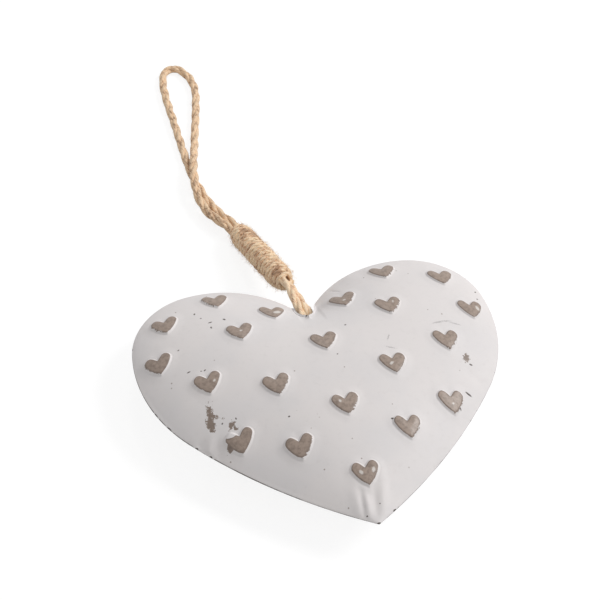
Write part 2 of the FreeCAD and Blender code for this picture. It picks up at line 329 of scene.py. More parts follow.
# Cord laid from plies, and twine wound round it
ply_fullness, ply_spread = 1.37, 1.02
cord_values = {"Step": 0.0007, "Sides": 9, "Looseness": 0.22, "Swell": 0.20}
cord_fibre = {"Fibre length": 0.0013, "Fibre radius": 0.000016}
twine_values = {"Step": 0.0009, "Sides": 6, "Looseness": 0.35, "Swell": 0.0}
twine_fibre = {"Fibre length": 0.0021, "Fibre radius": 0.000022}
twine_plies = 3
twine_ply_share, twine_offset_share = 0.36, 0.27
twine_lay_length = 0.0085
twine_frizz_share = 2.2
past_its_end = 2.0
winding_values = {"Steps per turn": 26, "Tuck depth": 0.0014, "Unevenness": 0.0016, "Seed": 4}
tuck_turns = 2.2
fibre_arc = {"Start": (0, 0, 0), "Middle": (0.12, 0.02, 0.5), "End": (0.5, 0.05, 0.95)}
fibre_taper, fibre_lean, fibre_lift = -0.75, 0.45, 0.42
fibre_sizes = (0.35, 1.3)
covered_side = -0.1

# Noise in the lay: how fast it changes, where it starts and how far it is felt
wander_pace, wander_ply_shift, wander_spread = 95.0, 7.3, 1.2
lump_pace, lump_start, lumpiness = 4.0, (3.1, 0, 0), 2.2
wound_pace, slip_pace, slip_start = 0.45, 2.7, (0, 4.4, 0)

# Streaks that run round a ply; for cord and twine their scale, the scale of the blotches and their strength
streak_turn, streak_run = 700.0, 260.0
cord_streaks = (1.5, 330, 1.1)
twine_streaks = (1.2, 230, 2.4)

# Stopper knot: a trefoil
knot_radius, knot_swing, knot_lift = 0.0026, 0.0012, 0.00208
knot_steps = 24

# Camera of the photograph, about the middle of the heart's plan
view_azimuth = math.radians(-16.10)
view_elevation = math.radians(47.62)
view_roll = math.radians(-2.01)
view_distance = 0.79006
view_shift_right = 0.010891
view_shift_up = -0.027257
view_lens = 117.455
clip_near, clip_far = 0.01, 100

# Stage
floor_reach = 40 * heart_width
floor_glow, floor_glow_share = 1.12, 0.76
gloss_share = 0.9
key_angle = math.radians(24)
key_place = (0.76, 0.09, 0.645)
fill_size = 0.14
fill_place = (0.12, 0.62, 0.72)


class TinSheetSizes(bpy.types.PropertyGroup):
    """Sizes of the pressed halves."""

    dome_rise: bpy.props.FloatProperty(
        name="Dome rise", default=0.0145, unit="LENGTH",
        description="Height of each pressed half over the seam, without the embossed hearts",
    )
    flange_width: bpy.props.FloatProperty(
        name="Flange width", default=0.0003, unit="LENGTH", description="Flat border round the rim"
    )
    wall: bpy.props.FloatProperty(
        name="Sheet thickness", default=0.0004, unit="LENGTH", description="Thickness of the tin sheet"
    )
    emboss_rise: bpy.props.FloatProperty(
        name="Emboss rise", default=0.001, unit="LENGTH",
        description="How far the small hearts stand proud of the dome",
    )
    emboss_slope: bpy.props.FloatProperty(
        name="Emboss slope", default=0.0014, unit="LENGTH",
        description="Width of the sloping side round each small heart",
    )
    face_crown: bpy.props.FloatProperty(
        name="Face crown", default=0.00022, unit="LENGTH",
        description="How much the middle of a small heart's face bulges",
    )
    skirt_rise: bpy.props.FloatProperty(
        name="Skirt rise", default=0.00025, unit="LENGTH",
        description="How far the sheet swells up towards the foot of a small heart",
    )
    skirt_reach: bpy.props.FloatProperty(
        name="Skirt reach", default=0.0032, unit="LENGTH",
        description="Width of the swelling round a small heart",
    )


class JuteSizes(bpy.types.PropertyGroup):
    """Sizes of the cord and the twine."""

    plies: bpy.props.IntProperty(
        name="Plies", default=3, min=2, max=4, description="Plies laid together in the cord"
    )
    lay_length: bpy.props.FloatProperty(
        name="Lay length", default=0.0245, unit="LENGTH",
        description="Length of cord in which a ply goes round once",
    )
    turns: bpy.props.IntProperty(
        name="Whipping turns", default=19, min=4, max=40, description="Turns of twine round both legs"
    )
    twine_diameter: bpy.props.FloatProperty(
        name="Twine diameter", default=0.00185, unit="LENGTH", description="Thickness of the binding twine"
    )
    whip_inner: bpy.props.FloatProperty(
        name="Whipping bore", default=0.00335, unit="LENGTH",
        description="Radius inside the whipping, round both legs",
    )
    frizz: bpy.props.FloatProperty(
        name="Loose fibres", default=1000000,
        description="Loose fibres to each square metre of cord surface",
    )


class HeartFinish(bpy.types.PropertyGroup):
    """Colours of the ornament."""

    paint: bpy.props.FloatVectorProperty(
        name="Paint", subtype="COLOR", default=(0.775, 0.735, 0.725), description="Aged off-white paint"
    )
    worn: bpy.props.FloatVectorProperty(
        name="Worn face", subtype="COLOR", default=(0.372, 0.290, 0.240), description="Taupe under the paint"
    )
    # Light spots on the taupe faces: partly metal rubbed bright, partly painted highlight
    rubbed: bpy.props.FloatVectorProperty(
        name="Rubbed spot", subtype="COLOR", default=(0.70, 0.66, 0.62),
        description="Small spots rubbed bright",
    )
    # Also used as painted shade: the seam towards the lower left and the line under the left lip
    bare_and_shade: bpy.props.FloatVectorProperty(
        name="Bare edge", subtype="COLOR", default=(0.095, 0.078, 0.070),
        description="Dark metal at chips and seam",
    )
    jute: bpy.props.FloatVectorProperty(
        name="Jute", subtype="COLOR", default=(0.89, 0.65, 0.435), description="Sunlit side of the jute"
    )
    jute_dark: bpy.props.FloatVectorProperty(
        name="Jute shade", subtype="COLOR", default=(0.56, 0.35, 0.215),
        description="Darker fibres of the jute",
    )
    # Twine colours: the twine's own tone, raised as painted light against the whipping's self-shadow; the
    # neck of the cord takes them too, as painted light
    twine: bpy.props.FloatVectorProperty(
        name="Twine", subtype="COLOR", default=(1.0, 0.79, 0.56), description="Sunlit side of the twine"
    )
    twine_dark: bpy.props.FloatVectorProperty(
        name="Twine shade", subtype="COLOR", default=(0.84, 0.53, 0.335),
        description="Darker fibres of the twine",
    )


class StageLevels(bpy.types.PropertyGroup):
    """Floor and lamps."""

    floor: bpy.props.FloatVectorProperty(
        name="Floor", subtype="COLOR", default=(0.92, 0.92, 0.92), description="Colour of the floor"
    )
    room_light: bpy.props.FloatProperty(
        name="Room light", default=0.44, description="Even light from all round"
    )
    key_power: bpy.props.FloatProperty(
        name="Key lamp", default=1.80, description="Strength of the soft sun in watts per square metre"
    )
    fill_power: bpy.props.FloatProperty(
        name="Fill lamp", default=0.8, unit="POWER", description="Power of the weak lamp"
    )


class NodeSheet:
    """A node tree being filled in: each call adds a node, sets its values and joins its inputs."""

    def __init__(self, tree):
        self.tree = tree

    def fill(self, node, inputs):
        for key, value in inputs.items():
            if isinstance(value, bpy.types.NodeSocket):
                self.tree.links.new(value, node.inputs[key])
            else:
                node.inputs[key].default_value = value

    def add(self, kind, inputs=None, **settings):
        node = self.tree.nodes.new(kind)
        for name, value in settings.items():
            setattr(node, name, value)
        self.fill(node, inputs or {})
        return node.outputs

    def math(self, operation, *values, clamp=False):
        return self.add("ShaderNodeMath", dict(enumerate(values)), operation=operation, use_clamp=clamp)[0]

    def plus(self, first, second):
        return self.math("ADD", first, second)

    def minus(self, first, second):
        return self.math("SUBTRACT", first, second)

    def times(self, first, second):
        return self.math("MULTIPLY", first, second)

    def times_plus(self, first, second, third):
        return self.math("MULTIPLY_ADD", first, second, third)

    def vector(self, operation, *values):
        return self.add("ShaderNodeVectorMath", dict(enumerate(values)), operation=operation)[0]

    def scaled(self, vector, amount):
        return self.add("ShaderNodeVectorMath", {0: vector, "Scale": amount}, operation="SCALE")[0]

    def combined(self, x=0.0, y=0.0, z=0.0):
        return self.add("ShaderNodeCombineXYZ", {"X": x, "Y": y, "Z": z})[0]

    def separated(self, vector):
        return self.add("ShaderNodeSeparateXYZ", {0: vector})

    def smooth(self, value, low, high, new_low=0.0, new_high=1.0):
        inputs = {"Value": value, "From Min": low, "From Max": high, "To Min": new_low, "To Max": new_high}
        return self.add("ShaderNodeMapRange", inputs, interpolation_type="SMOOTHSTEP")["Result"]

    def mix_colour(self, factor, *colours):
        inputs = {0: factor}
        for key, colour in zip((6, 7), colours):
            inputs[key] = colour if isinstance(colour, bpy.types.NodeSocket) else (*colour, 1)
        return self.add("ShaderNodeMix", inputs, data_type="RGBA")[2]

    def noise(self, scale, detail, rough, place):
        inputs = {"Scale": scale, "Detail": detail, "Roughness": rough, "Vector": place}
        return self.add("ShaderNodeTexNoise", inputs)["Fac"]

    def uneven(self, scale, detail, rough, place):
        """Noise about nought."""
        return self.minus(self.noise(scale, detail, rough, place), 0.5)

    def attribute(self, name, output="Fac"):
        return self.add("ShaderNodeAttribute", attribute_name=name)[output]

    def place(self):
        return self.add("ShaderNodeTexCoord")["Object"]

    def named(self, name, kind="FLOAT"):
        return self.add("GeometryNodeInputNamedAttribute", {"Name": name}, data_type=kind)[0]

    def stored(self, geometry, name, value, kind="FLOAT", domain="POINT"):
        inputs = {"Geometry": geometry, "Name": name, "Value": value}
        return self.add("GeometryNodeStoreNamedAttribute", inputs, data_type=kind, domain=domain)[0]

    def random(self, low, high, seed):
        return self.add("FunctionNodeRandomValue", {2: low, 3: high, "Seed": seed}, data_type="FLOAT")[1]

    def spoke(self, side, heading, turns):
        """Direction that goes round the line, starting from its side."""
        angle = self.times(turns, 2 * math.pi)
        up = self.vector("CROSS_PRODUCT", heading, side)
        along_side = self.scaled(side, self.math("COSINE", angle))
        return self.vector("ADD", along_side, self.scaled(up, self.math("SINE", angle)))

    def close(self, geometry, material):
        """End the tree: instances made real, material set."""
        real = self.add("GeometryNodeRealizeInstances", {"Geometry": geometry})[0]
        done = self.add("GeometryNodeSetMaterial", {"Geometry": real, "Material": material})[0]
        self.fill(self.tree.nodes.new("NodeGroupOutput"), {0: done})


def geometry_tree(name, values):
    """Geometry tree with an input for each value, with its sheet and the input sockets."""
    tree = bpy.data.node_groups.new(name, "GeometryNodeTree")
    tree.interface.new_socket("Geometry", in_out="INPUT", socket_type="NodeSocketGeometry")
    tree.interface.new_socket("Geometry", in_out="OUTPUT", socket_type="NodeSocketGeometry")
    kinds = {int: "NodeSocketInt", float: "NodeSocketFloat", bpy.types.Material: "NodeSocketMaterial"}
    for label, value in values.items():
        tree.interface.new_socket(label, in_out="INPUT", socket_type=kinds[type(value)])
    sheet = NodeSheet(tree)
    return sheet, sheet.add("NodeGroupInput")


def with_tree(thing, name, make, values):
    """Put the named tree on the object as a modifier, with its inputs set by their identifiers."""
    if name not in bpy.data.node_groups:
        make(name, values)
    tree = bpy.data.node_groups[name]
    modifier = thing.modifiers.new(name, "NODES")
    modifier.node_group = tree
    for item in tree.interface.items_tree:
        if item.in_out == "INPUT" and item.name in values:
            modifier[item.identifier] = values[item.name]


def linked(name, data):
    made = bpy.data.objects.new(name, data)
    bpy.context.scene.collection.objects.link(made)
    return made


def plain_mesh(thing, name):
    """New object with the evaluated mesh of the given one, which is removed."""
    bpy.context.view_layer.update()
    graph = bpy.context.evaluated_depsgraph_get()
    mesh = bpy.data.meshes.new_from_object(thing.evaluated_get(graph), depsgraph=graph)
    mesh.name = name
    bpy.data.objects.remove(thing)
    return linked(name, mesh)


def compass(angle):
    return np.array((math.cos(angle), math.sin(angle)))


def heart_arcs(inset):
    """Right half of the heart as arcs: centre, radius, first and last angle."""
    shoulder = np.array(shoulder_shares) * heart_width
    crown_radius, shoulder_radius, side_radius, flank_radius = np.array(arc_radius_shares) * heart_width
    crown = shoulder + (shoulder_radius - crown_radius) * compass(crown_turn)
    side = shoulder + (shoulder_radius - side_radius) * compass(side_turn)
    flank = side + (side_radius - flank_radius) * compass(flank_turn)
    crown_radius -= inset
    flank_radius -= inset
    return [
        (crown, crown_radius, math.acos(-crown[0] / crown_radius), crown_turn),
        (shoulder, shoulder_radius - inset, crown_turn, side_turn),
        (side, side_radius - inset, side_turn, flank_turn),
        (flank, flank_radius, flank_turn, -math.acos(-flank[0] / flank_radius)),
    ]


def mirrored(right, middle_x):
    """Closed outline from its right half, whose ends lie on the middle line."""
    shift = np.array((2 * middle_x, 0))
    return np.array(right + [shift + point * (-1, 1) for point in reversed(right[1:-1])])


def loop_points(inset, spacing):
    """Points round the heart from the cleft by the right side to the tip and back."""
    right = []
    for centre, radius, first, last in heart_arcs(inset):
        run = abs(last - first) * radius
        steps = max(fewest_steps, round(run / spacing)) if spacing else arc_steps
        right += [centre + radius * compass(a) for a in np.linspace(first, last, steps, endpoint=False)]
    right.append(centre + radius * compass(last))
    return mirrored(right, 0)


outline = loop_points(0, None)
crown_y, tip_y = outline[:, 1].max(), outline[:, 1].min()
cleft_y = outline[0, 1]
middle_y = (crown_y + tip_y) / 2


def share_place(across, up):
    return np.array((across * heart_width, tip_y + up * (crown_y - tip_y)))


def rim_distance(points):
    """Smooth distance from the rim at each point, positive inside."""
    ahead = np.roll(outline, -1, axis=0)
    run = ahead - outline
    run /= np.linalg.norm(run, axis=1)[:, None]
    found = []
    for some in np.array_split(points, max(1, len(points) // rim_part)):
        back = outline[None] - some[:, None]
        front = ahead[None] - some[:, None]
        height = back[:, :, 1] * run[:, 0] - back[:, :, 0] * run[:, 1]
        height = np.where(abs(height) < on_line, on_line, height)
        start = (back * run).sum(axis=2) / np.linalg.norm(back, axis=2)
        end = (front * run).sum(axis=2) / np.linalg.norm(front, axis=2)
        found.append(2 / ((end - start) / height).sum(axis=1))
    return np.concatenate(found)


def highest_rim_distance():
    wide = heart_width / 2 + reach_margin
    columns = np.linspace(-wide, wide, reach_columns)
    rows = np.linspace(tip_y - reach_margin, crown_y + reach_margin, reach_rows)
    return rim_distance(np.array([(x, y) for x in columns for y in rows])).max()


highest_distance = highest_rim_distance()


def dome_height(distance, sizes):
    share = (distance - sizes.flange_width) / (highest_distance - sizes.flange_width)
    return sizes.dome_rise * np.where(share < 0, np.tanh(share), share)


def small_heart(centre):
    """Outline of one embossed heart."""
    low = centre[1] - pad_height / 2

    def at(across, up):
        return np.array((centre[0] + across * pad_width / 2, low + up * pad_height))

    def arc(first, through, last):
        """Points on the arc through three places, without the last."""
        a, b = through - first, last - first
        cross = 2 * (a[0] * b[1] - a[1] * b[0])
        middle = np.array((b[1] * (a @ a) - a[1] * (b @ b), a[0] * (b @ b) - b[0] * (a @ a))) / cross
        spokes = [place - first - middle for place in (first, through, last)]
        angles = np.unwrap([math.atan2(spoke[1], spoke[0]) for spoke in spokes])
        turns = np.linspace(angles[0], angles[2], pad_arc_steps, endpoint=False)
        return [first + middle + np.linalg.norm(middle) * compass(turn) for turn in turns]

    tip, shoulder = at(0, 0), at(*pad_shoulder_shares)
    right = arc(at(0, pad_cleft_share), at(*pad_crown_shares), shoulder)
    right += [*arc(shoulder, at(*pad_flank_shares), tip), tip]
    return mirrored(right, centre[0])


pad_places = [share_place(side * across, up) for across, up in pad_pair_shares for side in (1, -1)]
pad_places += [share_place(0, up) for up in pad_axis_shares]
pads = [small_heart(centre) for centre in pad_places]


def signed_distance(points, loop):
    """Distance of each point from a closed outline, negative inside."""
    ahead = np.roll(loop, -1, axis=0)
    run = ahead - loop
    span = (run**2).sum(axis=1)
    rise = np.where(run[:, 1] == 0, on_line, run[:, 1])
    found = []
    for some in np.array_split(points, max(1, len(points) // distance_part)):
        away = some[:, None] - loop[None]
        along = np.clip((away * run).sum(axis=2) / span, 0, 1)
        nearest = np.linalg.norm(away - along[:, :, None] * run, axis=2).min(axis=1)
        above = loop[None, :, 1] > some[:, None, 1]
        above_ahead = ahead[None, :, 1] > some[:, None, 1]
        crossing = loop[:, 0] + (some[:, None, 1] - loop[:, 1]) / rise * run[:, 0]
        crosses = (above != above_ahead) & (some[:, None, 0] < crossing)
        found.append(np.where(crosses.sum(axis=1) % 2 == 1, -nearest, nearest))
    return np.concatenate(found)


def pad_distance(points):
    """Distance from the nearest embossed heart's outline, negative inside, at most pad_clear."""
    nearest = np.full(len(points), pad_clear)
    for centre, loop in zip(pad_places, pads):
        close = np.flatnonzero(abs(points - centre).max(axis=1) < pad_width / 2 + pad_clear)
        if len(close):
            offset = points[close] - centre
            aside = np.hypot(offset[:, 0], pad_notch_round) * math.cos(pad_notch_half_angle)
            notch = (offset[:, 1] - pad_notch_low) * math.sin(pad_notch_half_angle) - aside
            away = signed_distance(points[close], loop)
            blend = np.clip(1 - abs(away - notch) / pad_notch_blend, 0, 1)
            away = np.maximum(away, notch) + blend**2 * pad_notch_blend / 4
            nearest[close] = np.minimum(nearest[close], away)
    return nearest


def pad_points(loop, rings, spacing):
    """Contour rings round one embossed heart, where they don't fold over themselves."""
    closed = np.vstack([loop, loop[:1]])
    at = np.concatenate([[0], np.cumsum(np.linalg.norm(np.diff(closed, axis=0), axis=1))])
    wanted = np.linspace(0, at[-1], round(at[-1] / spacing), endpoint=False)
    fine = np.stack([np.interp(wanted, at, closed[:, axis]) for axis in (0, 1)], axis=1)
    tangent = np.roll(fine, -1, axis=0) - np.roll(fine, 1, axis=0)
    tangent /= np.linalg.norm(tangent, axis=1)[:, None]
    outward = np.stack([-tangent[:, 1], tangent[:, 0]], axis=1)
    if signed_distance(fine[:1] + outward[:1] * spacing, loop)[0] < 0:
        outward = -outward
    kept = []
    for offset in np.array(rings) * pad_ring_unit:
        points = fine + outward * offset
        kept.append(points[abs(signed_distance(points, loop) - offset) < spacing / 4])
    return np.vstack(kept)


def mouth_edge():
    """The V that the upper edge of the spout makes in plan, from the right end to the left."""
    heights = np.linspace(0, 1, spout_steps)[:-1] * spout_edge
    side = [
        (math.sqrt(spout_edge**2 - height**2), cleft_y + spout_end - spout_cutback * height / spout_outer)
        for height in heights
    ]
    side = [point for point in side if point[0] > slit_width]
    low = side[-1][1] - slit_width
    slit = [(slit_width / 2, low), (0, low - slit_length), (-slit_width / 2, low)]
    edge = np.array(side + slit + [(-x, y) for x, y in reversed(side)])
    raised = np.clip((edge[0, 1] - edge[:, 1]) / spout_cutback, 0, 1)
    edge[:, 0] = edge[:, 0] * (1 - spout_narrowing * raised) - spout_lean * raised
    return edge


lips = mouth_edge()


def lip_distance(points):
    """Distance from the edge of the mouth, at most reach_margin."""
    away = np.full(len(points), reach_margin)
    near = np.flatnonzero(np.linalg.norm(points - (0, cleft_y), axis=1) < 2 * reach_margin)
    away[near] = abs(signed_distance(points[near], lips))
    return away


def hex_grid(spacing, low, high):
    rows = int((high[1] - low[1]) / (spacing * math.sqrt(3) / 2)) + 1
    columns = int((high[0] - low[0]) / spacing) + 1
    x, y = np.meshgrid(np.arange(columns), np.arange(rows))
    points = np.stack([x + 0.5 * (y % 2), y * math.sqrt(3) / 2], axis=-1).reshape(-1, 2)
    return points * spacing + low


def sheet_grid(spacing):
    return hex_grid(spacing, outline.min(axis=0), outline.max(axis=0))


def plan(distances, details):
    """Flat triangulation of one face in plan, with the inset of each rim point."""
    rim = loop_points(0, outer_mesh["rim"])
    rim = rim[(abs(rim[:, 0]) > spout_edge + slit_width) | (rim[:, 1] < 0)]
    border = np.vstack([lips[::-1], rim])
    insets = distances["insets"]
    rims = [loop_points(inset, distances["rim"]) for inset in insets]
    rings = distances["pad rings"]
    spacing = distances["sheet"]
    grid = sheet_grid(spacing)
    grid = grid[rim_distance(grid) > insets[-1] + spacing / 2]
    grid = grid[pad_distance(grid) > rings[-1] * pad_ring_unit + spacing / 2]
    mouth_low = np.array((-spout_outer * spout_clear_share, cleft_y - spout_start - spout_ramp))
    mouth_high = np.array((spout_outer * spout_clear_share, cleft_y + spout_end))
    others = [pad_points(loop, rings, distances["pads"]) for loop in pads]
    others += [grid, hex_grid(distances["mouth"], mouth_low, mouth_high), *details]
    inner = np.vstack(rims + others)
    inner_insets = [np.full(len(ring), inset) for ring, inset in zip(rims, insets)]
    inner_insets = np.concatenate([*inner_insets, np.full(sum(map(len, others)), reach_margin)])
    keep = signed_distance(inner, border) < -rim_insets[0] / 2
    points = np.vstack([border, inner[keep]])
    border_insets = np.where(np.arange(len(border)) < len(lips), reach_margin, 0)
    inset_of = np.concatenate([border_insets, inner_insets[keep]])
    flat = [Vector(point * plan_unit) for point in points]
    shape = delaunay_2d_cdt(flat, [], [list(range(len(border)))], 1, merge_distance, True)
    at = np.array(shape[0]) / plan_unit
    origin = [first[0] if first else 0 for first in shape[3]]
    faces = np.array(shape[2])
    on_border = (faces < len(border)).all(axis=1)
    bridging = np.zeros(len(faces), dtype=bool)
    bridging[on_border] = signed_distance(at[faces[on_border]].mean(axis=1), border) > 0
    return at, faces[~bridging], inset_of[origin], len(border)


def pad_middles():
    """Plan points in the middle of each small heart's face."""
    middles = sheet_grid(pad_middle_spacing)
    innermost = outer_mesh["pad rings"][0] * pad_ring_unit - pad_middle_spacing / 2
    return middles[pad_distance(middles) < innermost]


def mark_frame(mark):
    """Middle, unit direction and half sizes of a mark."""
    across, up, length, width, turn = mark
    return share_place(across, up), compass(math.radians(turn)), length / 2, width / 2


def mark_distance(points, marks):
    """Distance from the edge of the nearest mark, negative inside it, at most pad_clear."""
    nearest = np.full(len(points), pad_clear)
    for middle, direction, half_length, half_width in map(mark_frame, marks):
        away = points - middle
        aside = away @ np.array((-direction[1], direction[0]))
        size = np.hypot(away @ direction / half_length, aside / half_width)
        nearest = np.minimum(nearest, (size - 1) * half_width)
    return nearest


def mark_points():
    """Fine rings of plan points on every mark, so that its edge is drawn sharply."""
    found = []
    marks = worn_marks + chip_marks + scratch_marks + rubbed_highlight_marks + painted_marks
    for middle, direction, half_length, half_width in map(mark_frame, marks):
        aside = np.array((-direction[1], direction[0]))
        for share in mark_ring_shares:
            reach = share * (half_width if share > 1 else half_length)
            long = half_length * min(share, 1) + max(0, reach - half_width)
            for step in range(mark_ring_steps):
                across, up = compass(2 * math.pi * (step + share) / mark_ring_steps)
                found.append(middle + direction * across * long + aside * up * half_width * share)
    return np.array(found)


def beside_fold(points, stroke):
    """How far along a fold each point lies, from 0 to 1, and its distance from the fold."""
    first, last = share_place(*stroke[:2]), share_place(*stroke[2:4])
    run = last - first
    held = np.clip((points - first) @ run / (run @ run), 0, 1)
    return held, np.linalg.norm(points - first - held[:, None] * run, axis=1)


def stroke_height(points):
    """Height of the folds, dents and slow waves over the smooth dome."""
    total = np.zeros(len(points))
    for stroke in fold_strokes:
        width, height = stroke[4:]
        held, away = beside_fold(points, stroke)
        arch = fold_end_share + (1 - fold_end_share) * np.sin(math.pi * held)
        total += height * np.exp(-((away / width) ** 2)) * arch
    waves = np.zeros(len(points))
    for step, turn in enumerate(wave_turns):
        length = sheet_wave_length * (1 + wave_growth * step)
        waves += np.sin(points @ compass(turn) * 2 * math.pi / length + wave_shift * step)
    return total + sheet_wave * waves / len(wave_turns)


def fold_room(points):
    """How much lower the inner face runs where the outer one is folded or waved."""
    nearest = np.full(len(points), reach_margin)
    for stroke in fold_strokes:
        nearest = np.minimum(nearest, beside_fold(points, stroke)[1] - 2 * stroke[4])
    deepest = max(abs(stroke[-1]) for stroke in fold_strokes)
    return sheet_wave + deepest * smooth_share(2 - nearest / inner_spacing)


def fold_points():
    """Close plan points along the narrow folds and dents."""
    fine = sheet_grid(fold_spacing)
    kept = np.zeros(len(fine), dtype=bool)
    for stroke in fold_strokes:
        if stroke[4] <= sheet_spacing * narrow_fold_share:
            kept |= beside_fold(fine, stroke)[1] < fold_reach_share * stroke[4]
    return fine[kept]


def smooth_share(value):
    value = np.clip(value, 0, 1)
    return value * value * (3 - 2 * value)


def blended_top(points, level, radius):
    """The dome with a half tube round the cord, which rises out of it towards the cleft."""
    ramp = smooth_share((points[:, 1] - (cleft_y - spout_start - spout_ramp)) / spout_ramp)
    hump = np.sqrt(np.maximum(radius**2 - points[:, 0] ** 2, 0)) * ramp
    side = np.clip((radius + 2 * spout_fillet - abs(points[:, 0])) / (2 * spout_fillet), 0, 1)
    soft = spout_fillet * ramp * side
    return (level + hump + np.sqrt((level - hump) ** 2 + soft**2) - soft) / 2


def outer_levels(points, insets, sizes):
    """Height of the outer face over the seam, without the embossed hearts."""
    distance = rim_distance(points)
    level = dome_height(distance, sizes)
    calm = smooth_share((distance - sizes.flange_width) / (3 * sizes.flange_width))
    level = sizes.wall + level * (1 - sizes.wall / sizes.dome_rise) + stroke_height(points) * calm
    level = blended_top(points, level, spout_outer)
    drop = np.clip(1 - insets / rim_insets[1], 0, 1) ** 2
    return level - drop * rim_rounding * sizes.wall


def inner_levels(points, insets, sizes):
    """Height of the inner face over the seam, a wall's thickness under the outer one."""
    step = sheet_spacing / 2
    slopes = []
    for shift in ((step, 0), (0, step)):
        ahead = dome_height(rim_distance(points + shift), sizes)
        behind = dome_height(rim_distance(points - shift), sizes)
        slopes.append((ahead - behind) / (2 * step))
    stretch = np.sqrt(1 + slopes[0] ** 2 + slopes[1] ** 2)
    level = dome_height(rim_distance(points), sizes) - sizes.wall * stretch - fold_room(points)
    level = blended_top(points, np.maximum(level, 0), spout_inner)
    return np.where(insets < inner_mesh["insets"][1] / 2, 0, level)


def pressing_tree(name, values):
    """Presses the small hearts out of the sheet and turns the half to its side of the seam."""
    sheet, given = geometry_tree(name, values)
    emboss = sheet.named("emboss")
    half = sheet.times(given["Emboss slope"], 0.5)
    rise = sheet.smooth(emboss, half, sheet.times(half, -1.0), 0.0, given["Emboss rise"])
    border = sheet.times(half, -2 * face_crown_share)
    middle = sheet.times(given["Emboss slope"], face_crown_reach)
    crown = sheet.smooth(emboss, border, middle, 0.0, given["Face crown"])
    skirt = sheet.smooth(emboss, given["Skirt reach"], half, 0.0, given["Skirt rise"])
    rise = sheet.plus(rise, sheet.plus(crown, skirt))
    place = sheet.separated(sheet.add("GeometryNodeInputPosition")[0])
    height = sheet.times_plus(sheet.plus(place["Z"], rise), given["Side"], given["Seam height"])
    position = sheet.combined(place["X"], place["Y"], height)
    pressed = sheet.add("GeometryNodeSetPosition", {"Geometry": given["Geometry"], "Position": position})
    under = sheet.math("LESS_THAN", given["Side"], 0.0)
    turned = sheet.add("GeometryNodeFlipFaces", {"Mesh": pressed[0], "Selection": under})
    sheet.close(turned[0], given["Finish"])


def ragged_weight(points):
    """How torn the worn edge is: most on the low outer side of each small heart."""
    weight = np.zeros(len(points))
    for order, centre in enumerate(pad_places):
        away = points - centre
        close = np.linalg.norm(away, axis=1) < pad_width
        direction = away[close] / (np.linalg.norm(away[close], axis=1)[:, None] + on_line)
        outward = math.copysign(worn_side[0], centre[0] - worn_side_turns_at * heart_width)
        share = np.clip(direction @ np.array((outward, worn_side[1])), 0, 1)
        torn = (order * torn_order) % torn_kinds / (torn_kinds - 1)
        weight[close] = share * (torn_shares[0] + torn_shares[1] * torn)
    beside = np.clip(pad_distance(points) / worn_patch_clear, least_torn, 1)
    return np.maximum(weight, np.where(mark_distance(points, worn_marks) < worn_patch_reach, beside, 0))


def sheet_plan(sizes):
    """One closed half without its small hearts: places, faces and the fields that shape and colour it."""
    details = [pad_middles(), mark_points(), fold_points()]
    outer_at, outer_faces, outer_insets, border = plan(outer_mesh, details)
    inner_at, inner_faces, inner_insets = plan(inner_mesh, [])[:3]
    plane = np.vstack([outer_at, inner_at])
    lip = lip_distance(plane)
    outer_z = outer_levels(outer_at, outer_insets, sizes)
    level = np.concatenate([outer_z, inner_levels(inner_at, inner_insets, sizes)])
    level += spout_flare * np.exp(-lip / spout_flare_reach)
    places = np.column_stack([plane[:, 0], plane[:, 1] - middle_y, level])
    count = len(outer_at)
    first, second, third = (outer_at[outer_faces[:, corner]] for corner in range(3))
    upward = np.cross(second - first, third - first).mean() > 0
    outer_faces = outer_faces if upward else outer_faces[:, ::-1]
    inner_faces = (inner_faces[:, ::-1] if upward else inner_faces) + count
    order = np.arange(border)
    ahead = np.roll(order, -1)
    loop = outer_at[:border]
    turn = loop[:, 0] @ np.roll(loop[:, 1], -1) - np.roll(loop[:, 0], -1) @ loop[:, 1]
    strip = np.column_stack([order, order + count, ahead + count, ahead])
    strip = strip if turn > 0 else strip[:, ::-1]
    faces = outer_faces.tolist() + inner_faces.tolist() + strip.tolist()
    outer = np.arange(len(plane)) < count
    covered = np.where(outer, 0, pad_clear)
    edge = np.concatenate([outer_insets, inner_insets])
    for start in (0, count):
        edge[start : start + len(lips)] = lip_darkness
    # A thin dark line along the left lip is painted shade beneath the lip; it goes into the chips field
    on_left_lip = outer & (plane[:, 1] > cleft_y - spout_start) & (plane[:, 0] < 0)
    lip_crease_shade = np.where(on_left_lip, abs(lip - lip_shade_inset) - lip_shade_width / 2, pad_clear)
    distance = pad_distance(plane)
    worn = np.maximum(distance + worn_inset, -mark_distance(plane, painted_marks))
    fields = {
        "emboss": distance,
        "worn": worn + covered,
        "marks": mark_distance(plane, worn_marks) + covered,
        "chips": np.minimum(mark_distance(plane, chip_marks), lip_crease_shade) + covered,
        "scratches": mark_distance(plane, scratch_marks) + covered,
        "rubbed": mark_distance(plane, rubbed_highlight_marks) + covered,
        "ragged": ragged_weight(plane),
        "edge": edge,
    }
    return places.tolist(), faces, fields


